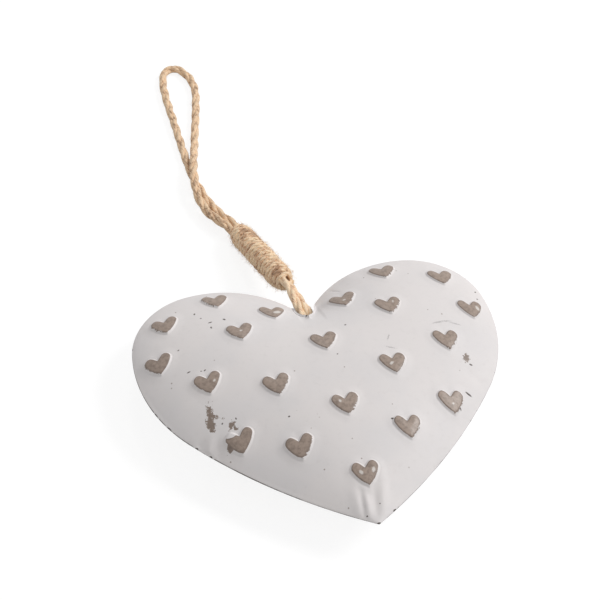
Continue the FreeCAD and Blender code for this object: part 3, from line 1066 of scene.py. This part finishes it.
def pressed_half(name, side, sizes, paint, sheet):
    """One half of the heart, pressed from the plan."""
    places, faces, fields = sheet
    mesh = bpy.data.meshes.new(name + "_plan")
    mesh.from_pydata(places, [], faces)
    for label, values in fields.items():
        hidden = side < 0 and label in ("marks", "chips", "scratches", "rubbed")
        values = np.full(len(places), pad_clear) if hidden else values
        mesh.attributes.new(label, "FLOAT", "POINT").data.foreach_set("value", values.astype(np.float32))
    flat = linked(name + "_plan", mesh)
    values = {
        "Emboss rise": sizes.emboss_rise,
        "Emboss slope": sizes.emboss_slope,
        "Face crown": sizes.face_crown,
        "Skirt rise": sizes.skirt_rise,
        "Skirt reach": sizes.skirt_reach,
        "Side": float(side),
        "Seam height": seam_height,
        "Finish": paint,
    }
    with_tree(flat, "Pressed sheet", pressing_tree, values)
    half = plain_mesh(flat, name)
    half.data.shade_smooth()
    half.data.set_sharp_from_angle(angle=sharp_turn)
    return half


def new_material(name):
    material = bpy.data.materials.new(name)
    material.use_nodes = True
    return material, NodeSheet(material.node_tree), material.node_tree.nodes["Principled BSDF"]


def dimmed(colour, share):
    return [min(1, value * share) for value in colour]


def aged_paint(finish):
    """Off-white paint, worn through to taupe on the embossed hearts, chipped and nicked; with painted shade
    along the lower-left seam, under the left lip and round each taupe face, and light spots on the faces
    that are partly painted highlight.
    """
    material, sheet, shader = new_material("aged_paint")
    place = sheet.place()
    grain = sheet.uneven(1700, 2.0, 0.6, place)
    torn = sheet.uneven(900, 4.0, 0.75, place)

    def wear_and_painted_light(label, noise):
        reach, start, end, strength = wear_and_painted_light_edges[label]
        line = sheet.times_plus(noise, reach, sheet.attribute(label))
        return sheet.smooth(line, start, end, 0.0, strength)

    chips, scratches, rubbed = wear_and_painted_light("chips", torn), wear_and_painted_light("scratches", grain), wear_and_painted_light("rubbed", grain)
    on_faces = sheet.attribute("worn")
    sway = sheet.times(torn, sheet.times(sheet.attribute("ragged"), torn_reach))
    line = sheet.plus(sheet.math("MINIMUM", on_faces, sheet.attribute("marks")), sway)
    worn = sheet.smooth(sheet.times_plus(grain, grain_reach, line), *worn_fade)
    edge = sheet.attribute("edge")
    nick = sheet.minus(sheet.noise(210, 4.0, 0.7, place), 0.64)
    nicks = sheet.smooth(sheet.times_plus(nick, nick_reach, edge), *nick_fade)
    # The seam line grows wider and fully dark towards the lower left: painted shade on the side away from
    # the key; elsewhere it is the dark joint
    across = sheet.separated(place)
    leftward = sheet.smooth(across["X"], *low_left_shade_span[:2])
    low_left_shade = sheet.times(leftward, sheet.smooth(across["Y"], *low_left_shade_span[2:]))
    seam = sheet.smooth(edge, sheet.times_plus(low_left_shade, seam_shade_growth, seam_line), seam_line_end)
    broken = sheet.smooth(sheet.noise(70, 4.0, 0.65, place), 0.38, 0.54, 0.2, 0.75)
    seam = sheet.math("MULTIPLY", seam, sheet.times_plus(low_left_shade, 0.5, broken), clamp=True)
    bare_edge_and_shade = sheet.math("MAXIMUM", nicks, seam)
    cloud = sheet.smooth(sheet.noise(38, 3.0, 0.55, place), 0.35, 0.7)
    mottle = sheet.noise(420, 4.0, 0.6, place)
    cool_paint = [value * share for value, share in zip(finish.paint, cool_shares)]
    paint = sheet.mix_colour(cloud, finish.paint, cool_paint)
    soiled = sheet.smooth(mottle, 0.52, 0.82, 0.0, 0.5)
    paint = sheet.mix_colour(soiled, paint, dimmed(finish.paint, soiled_share))
    dark_worn = dimmed(finish.worn, worn_dark_share)
    brushed = sheet.smooth(sheet.noise(700, 3.0, 0.6, place), 0.35, 0.75)
    taupe = sheet.mix_colour(brushed, finish.worn, dark_worn)
    # Each taupe face darkens towards its border: painted shade where the face curves down
    border = sheet.smooth(on_faces, *face_edge_shade, 0.0, 0.5)
    taupe = sheet.mix_colour(border, taupe, dimmed(finish.worn, face_edge_shade_share))
    # Light spots on the taupe faces: painted highlight where glints show, partly metal rubbed bright
    taupe = sheet.mix_colour(rubbed, taupe, finish.rubbed)
    specks = sheet.add("ShaderNodeTexVoronoi", {"Vector": place, "Scale": 210})
    sparse = sheet.smooth(sheet.separated(specks["Color"])["X"], 0.35, 0.95, 0.0, 0.8)
    speck = sheet.times(sheet.smooth(specks["Distance"], 0.085, 0.05), sparse)
    colour = sheet.mix_colour(scratches, paint, dimmed(finish.paint, scratched_share))
    layers = ((speck, dark_worn), (worn, taupe), (chips, finish.bare_and_shade), (bare_edge_and_shade, finish.bare_and_shade))
    for amount, layer in layers:
        colour = sheet.mix_colour(amount, colour, layer)
    rough = sheet.times_plus(worn, -0.20, sheet.smooth(mottle, 0.2, 0.8, 0.52, 0.64))
    height = sheet.times_plus(sheet.noise(1300, 3.0, 0.6, place), 0.35, sheet.noise(260, 2.0, 0.5, place))
    height = sheet.times_plus(sheet.math("MAXIMUM", worn, chips), -0.5, height)
    bump = sheet.add("ShaderNodeBump", {"Strength": 0.22, "Distance": paint_bump, "Height": height})[0]
    surface = {"Base Color": colour, "Roughness": rough, "Normal": bump, "Specular IOR Level": 0.35}
    sheet.fill(shader, surface)
    return material


def soft_solder():
    """Dull grey solder with a lumpy skin."""
    material, sheet, shader = new_material("soft_solder")
    flow = sheet.noise(420, 3.0, 0.6, sheet.place())
    colour = sheet.mix_colour(sheet.smooth(flow, 0.3, 0.75), (0.47, 0.47, 0.46), (0.29, 0.285, 0.28))
    bump = sheet.add("ShaderNodeBump", {"Strength": 0.5, "Distance": solder_bump, "Height": flow})[0]
    rough = sheet.smooth(flow, 0.3, 0.8, 0.38, 0.6)
    sheet.fill(shader, {"Base Color": colour, "Roughness": rough, "Normal": bump, "Metallic": 0.9})
    return material


def jute_fibre(name, light, dark, streak_scale, blotch_scale, blotchiness):
    """Dry plant fibre with streaks that run round each ply."""
    material, sheet, shader = new_material(name)
    along = sheet.attribute("along")
    spoke = {"Vector": sheet.attribute("spoke", "Vector"), "Angle": sheet.times(along, streak_turn)}
    turned = sheet.add("ShaderNodeVectorRotate", spoke, rotation_type="Z_AXIS")[0]
    run = sheet.combined(z=sheet.times(along, streak_run))
    streak = sheet.noise(1.0, 4.0, 0.65, sheet.vector("ADD", sheet.scaled(turned, streak_scale), run))
    blotch = sheet.uneven(blotch_scale, 3.0, 0.6, sheet.place())
    shade = sheet.times_plus(blotch, blotchiness, streak)
    colour = sheet.mix_colour(sheet.smooth(shade, 0.30, 0.56), dark, light)
    deepest = sheet.smooth(shade, 0.36, 0.26, 0.0, 0.8)
    colour = sheet.mix_colour(deepest, colour, dimmed(dark, deep_jute_share))
    palest = sheet.smooth(streak, 0.6, 0.78, 0.0, 0.7)
    colour = sheet.mix_colour(palest, colour, dimmed(light, pale_jute_share))
    bump = sheet.add("ShaderNodeBump", {"Strength": 0.8, "Distance": fibre_bump, "Height": streak})[0]
    surface = {"Base Color": colour, "Normal": bump, "Roughness": 0.85, "Specular IOR Level": 0.25}
    sheet.fill(shader, {**surface, "Sheen Weight": 0.9, "Sheen Tint": (1.0, 0.86, 0.68, 1)})
    return material


def laid_tree(name, values):
    """Lays plies round a centreline between two of its lengths, with loose fibres on them."""
    sheet, given = geometry_tree(name, values)
    even = {"Curve": given["Geometry"], "Length": given["Step"]}
    line = sheet.add("GeometryNodeResampleCurve", even, mode="LENGTH")[0]
    line = sheet.stored(line, "along", sheet.add("GeometryNodeSplineParameter")["Length"])
    line = sheet.stored(line, "side", sheet.add("GeometryNodeInputNormal")[0], "FLOAT_VECTOR")
    line = sheet.stored(line, "heading", sheet.add("GeometryNodeInputTangent")[0], "FLOAT_VECTOR")
    cut = sheet.add("GeometryNodeTrimCurve", {0: line, 4: given["Start"], 5: given["End"]}, mode="LENGTH")
    copied = {"Geometry": cut[0], "Amount": given["Plies"]}
    copies = sheet.add("GeometryNodeDuplicateElements", copied, domain="SPLINE")
    order = copies["Duplicate Index"]
    along = sheet.named("along")
    share = sheet.math("DIVIDE", order, given["Plies"])
    turns = sheet.plus(sheet.math("DIVIDE", along, given["Lay length"]), share)
    paced, shifted = sheet.times(along, wander_pace), sheet.times(order, wander_ply_shift)
    wander_place = sheet.combined(paced, shifted, given["Seed"])
    wander = sheet.uneven(1.0, 2.0, 0.5, wander_place)
    loose_wander = sheet.times(wander, given["Looseness"])
    heading = sheet.named("heading", "FLOAT_VECTOR")
    spoke = sheet.spoke(sheet.named("side", "FLOAT_VECTOR"), heading, sheet.plus(turns, loose_wander))
    before_end = sheet.minus(given["End"], along)
    from_end = sheet.math("MINIMUM", sheet.minus(along, given["Start"]), before_end)
    swelling = sheet.times(sheet.smooth(from_end, *swell_opens), sheet.smooth(from_end, *swell_closes))
    swell = sheet.times(given["Swell"], swelling)
    spread = sheet.plus(sheet.times_plus(loose_wander, wander_spread, 1.0), swell)
    offset = sheet.scaled(spoke, sheet.times(spread, given["Ply offset"]))
    laid = sheet.add("GeometryNodeSetPosition", {"Geometry": copies[0], "Offset": offset})[0]
    lump_place = sheet.vector("ADD", sheet.scaled(wander_place, lump_pace), lump_start)
    lump = sheet.uneven(1.0, 2.0, 0.6, lump_place)
    girth = sheet.plus(sheet.times_plus(lump, sheet.times(given["Looseness"], lumpiness), 1.0), swell)
    laid = sheet.add("GeometryNodeSetCurveRadius", {"Curve": laid, "Radius": girth})[0]
    section = {"Resolution": given["Sides"], "Radius": given["Ply radius"]}
    ring = sheet.add("GeometryNodeCurvePrimitiveCircle", section)[0]
    around = sheet.vector("NORMALIZE", sheet.add("GeometryNodeInputPosition")[0])
    ring = sheet.stored(ring, "spoke", around, "FLOAT_VECTOR")
    swept = {"Curve": laid, "Profile Curve": ring, "Fill Caps": True}
    plies = sheet.add("GeometryNodeCurveToMesh", swept)[0]
    hairs = loose_fibres(sheet, given, plies, heading)
    body = sheet.add("GeometryNodeSetShadeSmooth", {"Geometry": plies})[0]
    both = sheet.tree.nodes.new("GeometryNodeJoinGeometry")
    sheet.fill(both, {0: hairs})
    sheet.fill(both, {0: body})
    sheet.close(both.outputs[0], given["Finish"])


def loose_fibres(sheet, given, plies, heading):
    """Short bent fibres that stand off the plies, where nothing covers them."""
    normal = sheet.add("GeometryNodeInputNormal")[0]
    outward = {0: normal, 1: sheet.named("outward", "FLOAT_VECTOR")}
    outward = sheet.add("ShaderNodeVectorMath", outward, operation="DOT_PRODUCT")["Value"]
    uncovered = sheet.math("GREATER_THAN", outward, covered_side)
    spread = {"Mesh": plies, "Selection": uncovered, "Density": given["Frizz"], "Seed": given["Seed"]}
    spots = sheet.add("GeometryNodeDistributePointsOnFaces", spread)
    hair = sheet.add("GeometryNodeCurveQuadraticBezier", {"Resolution": 3, **fibre_arc})[0]
    taper = sheet.add("GeometryNodeSplineParameter")["Factor"]
    slimmed = {"Curve": hair, "Radius": sheet.times_plus(taper, fibre_taper, 1.0)}
    hair = sheet.add("GeometryNodeSetCurveRadius", slimmed)[0]
    slim = sheet.math("DIVIDE", given["Fibre radius"], given["Fibre length"])
    section = sheet.add("GeometryNodeCurvePrimitiveCircle", {"Resolution": 3, "Radius": slim})[0]
    swept = {"Curve": hair, "Profile Curve": section, "Fill Caps": True}
    hair = sheet.add("GeometryNodeCurveToMesh", swept)[0]
    any_way = {0: (-1, -1, -1), 1: (1, 1, 1), "Seed": given["Seed"]}
    lean = sheet.add("FunctionNodeRandomValue", any_way, data_type="FLOAT_VECTOR")[0]
    forward = sheet.scaled(heading, sheet.math("SIGN", sheet.random(-1.0, 1.0, 9)))
    lifted = sheet.scaled(spots["Normal"], sheet.random(0.0, fibre_lift, 5))
    pointing = sheet.vector("ADD", sheet.vector("ADD", forward, lifted), sheet.scaled(lean, fibre_lean))
    facing = sheet.add("FunctionNodeAlignRotationToVector", {"Vector": pointing}, axis="Z")[0]
    spin = sheet.combined(z=sheet.random(0.0, 2 * math.pi, 3))
    spin = sheet.add("FunctionNodeEulerToRotation", {0: spin})[0]
    facing = sheet.add("FunctionNodeRotateRotation", {0: facing, 1: spin}, rotation_space="LOCAL")[0]
    size = sheet.times(sheet.random(*fibre_sizes, 7), given["Fibre length"])
    set_out = {"Points": spots["Points"], "Instance": hair, "Rotation": facing, "Scale": size}
    hairs = sheet.add("GeometryNodeInstanceOnPoints", set_out)[0]
    return sheet.stored(hairs, "along", sheet.random(0.0, 1.0, 11), domain="INSTANCE")


def winding_tree(name, values):
    """Winds a straight centreline into close turns whose ends slip under the rest."""
    sheet, given = geometry_tree(name, values)
    count = sheet.times_plus(given["Turns"], given["Steps per turn"], 1.0)
    even = {"Curve": given["Geometry"], "Count": count}
    fine = sheet.add("GeometryNodeResampleCurve", even, mode="COUNT")[0]
    turns = sheet.times(sheet.add("GeometryNodeSplineParameter")["Factor"], given["Turns"])
    heading = sheet.add("GeometryNodeInputTangent")[0]
    spoke = sheet.spoke(sheet.add("GeometryNodeInputNormal")[0], heading, turns)
    place = sheet.combined(sheet.times(turns, wound_pace), given["Seed"])
    near_end = sheet.math("MINIMUM", turns, sheet.minus(given["Turns"], turns))
    tuck = sheet.smooth(near_end, tuck_turns, 0.0, 0.0, given["Tuck depth"])
    rough = sheet.uneven(1.0, 3.0, 0.6, place)
    radius = sheet.minus(sheet.times_plus(rough, given["Unevenness"], given["Wound radius"]), tuck)
    slip_place = sheet.vector("ADD", sheet.scaled(place, slip_pace), slip_start)
    slip = sheet.times(sheet.uneven(1.0, 2.0, 0.5, slip_place), given["Unevenness"])
    offset = sheet.vector("ADD", sheet.scaled(spoke, radius), sheet.scaled(heading, slip))
    line = sheet.stored(fine, "outward", spoke, "FLOAT_VECTOR")
    wound = sheet.add("GeometryNodeSetPosition", {"Geometry": line, "Offset": offset})[0]
    sheet.close(wound, given["Finish"])


def curve_line(name, points, kind):
    data = bpy.data.curves.new(name, "CURVE")
    data.dimensions = "3D"
    spline = data.splines.new(kind)
    spline.points.add(len(points) - 1)
    for point, place in zip(spline.points, points):
        point.co = (*place, 1)
    return linked(name, data)


def read_route(control_points):
    """Points along the smooth line that the route's control points give."""
    thing = curve_line("cord_route", control_points, "NURBS")
    thing.data.resolution_u = route_resolution
    spline = thing.data.splines[0]
    spline.order_u = 3
    spline.use_endpoint_u = True
    made = plain_mesh(thing, "cord_route")
    points = [vertex.co.copy() for vertex in made.data.vertices]
    bpy.data.objects.remove(made)
    return points


def whip_axes():
    near = sway_pivot + (whip_far - sway_pivot).normalized() * whip_seat + neck_lean
    along = (whip_far - near).normalized()
    return near, along, along.cross(Vector((0, 0, 1))).normalized()


def leg_route(side):
    """Control points of one leg, from inside the heart to the far end of the whipping."""
    near, along, across = whip_axes()
    forward, right = Vector((0, 1, 0)), Vector((1, 0, 0))
    waist = mouth_pivot.lerp(sway_pivot, neck_waist_share) + neck_lean * neck_waist_share
    waist_side = Matrix.Rotation(waist_turn, 3, forward) @ right
    seat_side = Matrix.Rotation(seat_turn, 3, along) @ across
    stations = [
        (inside_start, right),
        (mouth_pivot - forward * cord_diameter, right),
        (mouth_pivot + forward * cord_diameter / 2, right),
        (waist, waist_side),
        (sway_pivot + neck_lean, seat_side),
        (near, seat_side),
        (near + along * 3 * cord_diameter, seat_side),
        (whip_far - along * 4 * cord_diameter, across),
        (whip_far, across),
        (whip_far + along * cord_diameter, across),
    ]
    return [place + direction * side * leg_offset for place, direction in stations]


def lengths_along(points):
    runs = [(after - before).length for before, after in zip(points, points[1:])]
    return np.concatenate([[0], np.cumsum(runs)])


def passing_lengths(points, at, direction):
    """The first and last length at which the line passes the plane through a place."""
    away = np.array([(point - at).dot(direction) for point in points])
    lengths = lengths_along(points)
    found = []
    for step in np.flatnonzero(np.sign(away[:-1]) != np.sign(away[1:])):
        share = away[step] / (away[step] - away[step + 1])
        found.append(lengths[step] + share * (lengths[step + 1] - lengths[step]))
    return found[0], found[-1]


def joined(name, things):
    if len(things) > 1:
        with bpy.context.temp_override(active_object=things[0], selected_editable_objects=things):
            bpy.ops.object.join()
    things[0].name = name
    things[0].data.name = name
    return things[0]


def laid_piece(name, points, spans, jute, finish, seed):
    """Plies along one or more stretches of the line, as one plain mesh."""
    ply_radius = cord_diameter / 2 / (1 + 1 / math.sin(math.pi / jute.plies))
    made = []
    for order, (start, end) in enumerate(spans):
        line = curve_line(f"{name}_{order}", points, "POLY")
        values = {
            **cord_values,
            **cord_fibre,
            "Start": float(start),
            "End": float(end),
            "Plies": jute.plies,
            "Ply radius": ply_radius * ply_fullness,
            "Ply offset": (cord_diameter / 2 - ply_radius) * ply_spread,
            "Lay length": jute.lay_length,
            "Frizz": jute.frizz,
            "Seed": seed,
            "Finish": finish,
        }
        with_tree(line, "Laid cord", laid_tree, values)
        made.append(plain_mesh(line, f"{name}_{order}"))
    return joined(name, made)


class TIN_OT_pressed_halves(bpy.types.Operator):
    """Make the two pressed halves of the heart with their embossed hearts and mouth"""

    bl_idname = "tin_heart.pressed_halves"
    bl_label = "Pressed halves"

    def execute(self, context):
        paint = aged_paint(context.scene.heart_finish)
        sizes = context.scene.tin_sizes
        sheet = sheet_plan(sizes)
        for name, side, node in (("front_half", 1, "front_shell"), ("back_half", -1, "back_shell")):
            half = pressed_half(name, side, sizes, paint, sheet)
            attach(half, "heart")
            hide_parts(node)
        return {"FINISHED"}


class TIN_OT_solder(bpy.types.Operator):
    """Give the solder run inside the rim its dull grey finish"""

    bl_idname = "tin_heart.solder"
    bl_label = "Solder run"

    def execute(self, context):
        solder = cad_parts["seam_solder"]
        solder.data.materials.clear()
        solder.data.materials.append(soft_solder())
        return {"FINISHED"}


class TIN_OT_hanging_cord(bpy.types.Operator):
    """Lay the jute cord: the neck, the loop and the stretch inside the whipping"""

    bl_idname = "tin_heart.hanging_cord"
    bl_label = "Hanging cord"

    def execute(self, context):
        jute = context.scene.jute_sizes
        colours = context.scene.heart_finish
        finish = jute_fibre("jute_cord", colours.jute, colours.jute_dark, *cord_streaks)
        # The neck is the same cord in the paler twine colours: painted light that brightens it
        neck_painted_light = jute_fibre("jute_neck_painted_light", colours.twine, colours.twine_dark, *cord_streaks)
        points = read_route([*leg_route(-1), *map(Vector, loop_route), *reversed(leg_route(1))])
        near, along = whip_axes()[:2]
        total = lengths_along(points)[-1]
        waist = mouth_pivot.lerp(sway_pivot, neck_waist_share)
        waist_in, waist_out = passing_lengths(points, waist, Vector((0, 1, 0)))
        seat_in, seat_out = passing_lengths(points, near + along * cord_diameter / 2, along)
        lower = laid_piece("neck_lower", points, [(0, waist_in), (waist_out, total)], jute, neck_painted_light, 1)
        upper = laid_piece("neck_upper", points, [(waist_in, seat_in), (seat_out, waist_out)], jute, neck_painted_light, 1)
        loop = laid_piece("hanging_cord", points, [(seat_in, seat_out)], jute, finish, 1)
        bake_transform(lower)
        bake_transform(upper)
        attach(loop, "hanger")
        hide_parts("neck_legs")
        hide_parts("bound_legs", "hanging_loop")
        return {"FINISHED"}


class TIN_OT_whipping(bpy.types.Operator):
    """Wind the twine round both legs of the cord"""

    bl_idname = "tin_heart.whipping"
    bl_label = "Twine whipping"

    def execute(self, context):
        jute = context.scene.jute_sizes
        colours = context.scene.heart_finish
        # Twine colours partly painted light, brighter than the twine's own tone
        finish = jute_fibre("jute_twine", colours.twine, colours.twine_dark, *twine_streaks)
        line = curve_line("twine_line", [whip_axes()[0], whip_far], "POLY")
        radius = jute.whip_inner + jute.twine_diameter / 2
        winding = {**winding_values, "Turns": jute.turns, "Wound radius": radius, "Finish": finish}
        with_tree(line, "Wound turns", winding_tree, winding)
        laid = {
            **twine_values,
            **twine_fibre,
            "Start": 0.0,
            "End": past_its_end,
            "Plies": twine_plies,
            "Ply radius": jute.twine_diameter * twine_ply_share,
            "Ply offset": jute.twine_diameter * twine_offset_share,
            "Lay length": twine_lay_length,
            "Frizz": jute.frizz * twine_frizz_share,
            "Seed": 6,
            "Finish": finish,
        }
        with_tree(line, "Laid cord", laid_tree, laid)
        whipping = plain_mesh(line, "twine_whipping")
        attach(whipping, "hanger")
        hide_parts("whipping_twine")
        return {"FINISHED"}


class TIN_OT_stopper_knot(bpy.types.Operator):
    """Tie the knot that holds the cord inside the heart"""

    bl_idname = "tin_heart.stopper_knot"
    bl_label = "Stopper knot"

    def execute(self, context):
        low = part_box("stopper_knot")[0]
        middle = Vector((0, (low.y + inside_start.y) / 2, seam_height))
        control = []
        for step in range(knot_steps):
            turn = 2 * math.pi * step / knot_steps
            wide = knot_radius + knot_swing * math.cos(3 * turn)
            lift = knot_lift * math.sin(3 * turn)
            control.append(middle + Vector((wide * math.cos(2 * turn), lift, wide * math.sin(2 * turn))))
        points = read_route(control)
        total = lengths_along(points)[-1]
        finish = bpy.data.materials["jute_cord"]
        knot = laid_piece("cord_knot", points, [(0, total)], context.scene.jute_sizes, finish, 2)
        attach(knot, "heart")
        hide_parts("stopper_knot")
        return {"FINISHED"}


def aimed_lamp(lamp, place):
    """Lamp that shines at the middle of the heart."""
    thing = linked(lamp.name, lamp)
    thing.location = place
    aim = Vector((0, 0, seam_height)) - Vector(place)
    thing.rotation_euler = aim.to_track_quat("-Z", "Y").to_euler()


def white_floor(levels):
    """Floor that shows white to the camera and keeps the ornament's shadow."""
    material, sheet, shader = new_material("white_floor")
    sheet.fill(shader, {"Base Color": (*levels.floor, 1), "Roughness": 0.9})
    glow = sheet.add("ShaderNodeEmission", {"Strength": floor_glow})[0]
    share = sheet.times(sheet.add("ShaderNodeLightPath")["Is Camera Ray"], floor_glow_share)
    mix = sheet.add("ShaderNodeMixShader", {0: share, 1: shader.outputs[0], 2: glow})[0]
    sheet.fill(material.node_tree.nodes["Material Output"], {"Surface": mix})
    return material


def white_backdrop(levels):
    world = bpy.data.worlds.new("room")
    bpy.context.scene.world = world
    world.use_nodes = True
    sheet = NodeSheet(world.node_tree)
    ways = sheet.add("ShaderNodeLightPath")
    seen = sheet.math("MAXIMUM", ways["Is Camera Ray"], ways["Is Transmission Ray"])
    seen = sheet.math("MAXIMUM", seen, sheet.times(ways["Is Glossy Ray"], gloss_share))
    range_of = {"Value": seen, "To Min": levels.room_light, "To Max": 1.0}
    strength = sheet.add("ShaderNodeMapRange", range_of)["Result"]
    sheet.fill(world.node_tree.nodes["Background"], {"Color": (1, 1, 1, 1), "Strength": strength})


class TIN_OT_stage(bpy.types.Operator):
    """Set up the white floor, the soft light and the camera"""

    bl_idname = "tin_heart.stage"
    bl_label = "Stage"

    def execute(self, context):
        levels = context.scene.stage_levels
        mesh = bpy.data.meshes.new("floor")
        signs = ((-1, -1), (1, -1), (1, 1), (-1, 1))
        mesh.from_pydata([(x * floor_reach, y * floor_reach, 0) for x, y in signs], [], [(0, 1, 2, 3)])
        mesh.materials.append(white_floor(levels))
        floor = linked("floor", mesh)
        white_backdrop(levels)
        key = bpy.data.lights.new("key_lamp", "SUN")
        key.energy = levels.key_power
        key.angle = key_angle
        aimed_lamp(key, key_place)
        fill = bpy.data.lights.new("fill_lamp", "AREA")
        fill.energy = levels.fill_power
        fill.shape = "DISK"
        fill.size = fill_size
        aimed_lamp(fill, fill_place)
        camera_data = bpy.data.cameras.new("camera")
        camera_data.lens = view_lens
        camera_data.clip_start = clip_near
        camera_data.clip_end = clip_far
        camera = linked("camera", camera_data)
        sine, cosine = math.sin(view_azimuth), math.cos(view_azimuth)
        right = Vector((cosine, sine, 0))
        flat = math.cos(view_elevation)
        back = Vector((sine * flat, -cosine * flat, math.sin(view_elevation)))
        up = back.cross(right)
        place = Vector((0, -middle_y, seam_height))
        place += back * view_distance - right * view_shift_right - up * view_shift_up
        side = right * math.cos(view_roll) - up * math.sin(view_roll)
        top = right * math.sin(view_roll) + up * math.cos(view_roll)
        turn = Matrix((side, top, back)).transposed().to_4x4()
        camera.matrix_world = Matrix.Translation(place) @ turn
        context.scene.camera = camera
        context.scene.view_settings.view_transform = "Standard"
        return {"FINISHED"}


class TIN_PT_panel(bpy.types.Panel):
    """Steps that make the ornament"""

    bl_idname = "TIN_PT_panel"
    bl_label = "Tin heart"
    bl_space_type = "VIEW_3D"
    bl_region_type = "UI"
    bl_category = "Tin heart"

    def draw(self, context):
        for group in settings_groups:
            values = getattr(context.scene, group)
            for name in values.bl_rna.properties.keys():
                if name not in ("rna_type", "name"):
                    self.layout.prop(values, name)
        for operator in steps:
            self.layout.operator(operator.bl_idname)


steps = (
    TIN_OT_whipping,
    TIN_OT_hanging_cord,
    TIN_OT_stopper_knot,
    TIN_OT_pressed_halves,
    TIN_OT_solder,
    TIN_OT_stage,
)
settings_groups = {
    "tin_sizes": TinSheetSizes,
    "jute_sizes": JuteSizes,
    "heart_finish": HeartFinish,
    "stage_levels": StageLevels,
}


def register():
    for name, group in settings_groups.items():
        bpy.utils.register_class(group)
        setattr(bpy.types.Scene, name, bpy.props.PointerProperty(type=group))
    for part in (*steps, TIN_PT_panel):
        bpy.utils.register_class(part)


def unregister():
    for part in reversed((*steps, TIN_PT_panel)):
        bpy.utils.unregister_class(part)
    for name, group in settings_groups.items():
        delattr(bpy.types.Scene, name)
        bpy.utils.unregister_class(group)


def main():
    register()
    bpy.ops.tin_heart.whipping()
    bpy.ops.tin_heart.hanging_cord()
    bpy.ops.tin_heart.stopper_knot()
    bpy.ops.tin_heart.pressed_halves()
    bpy.ops.tin_heart.solder()
    bpy.ops.tin_heart.stage()


if __name__ == "__main__":
    main()
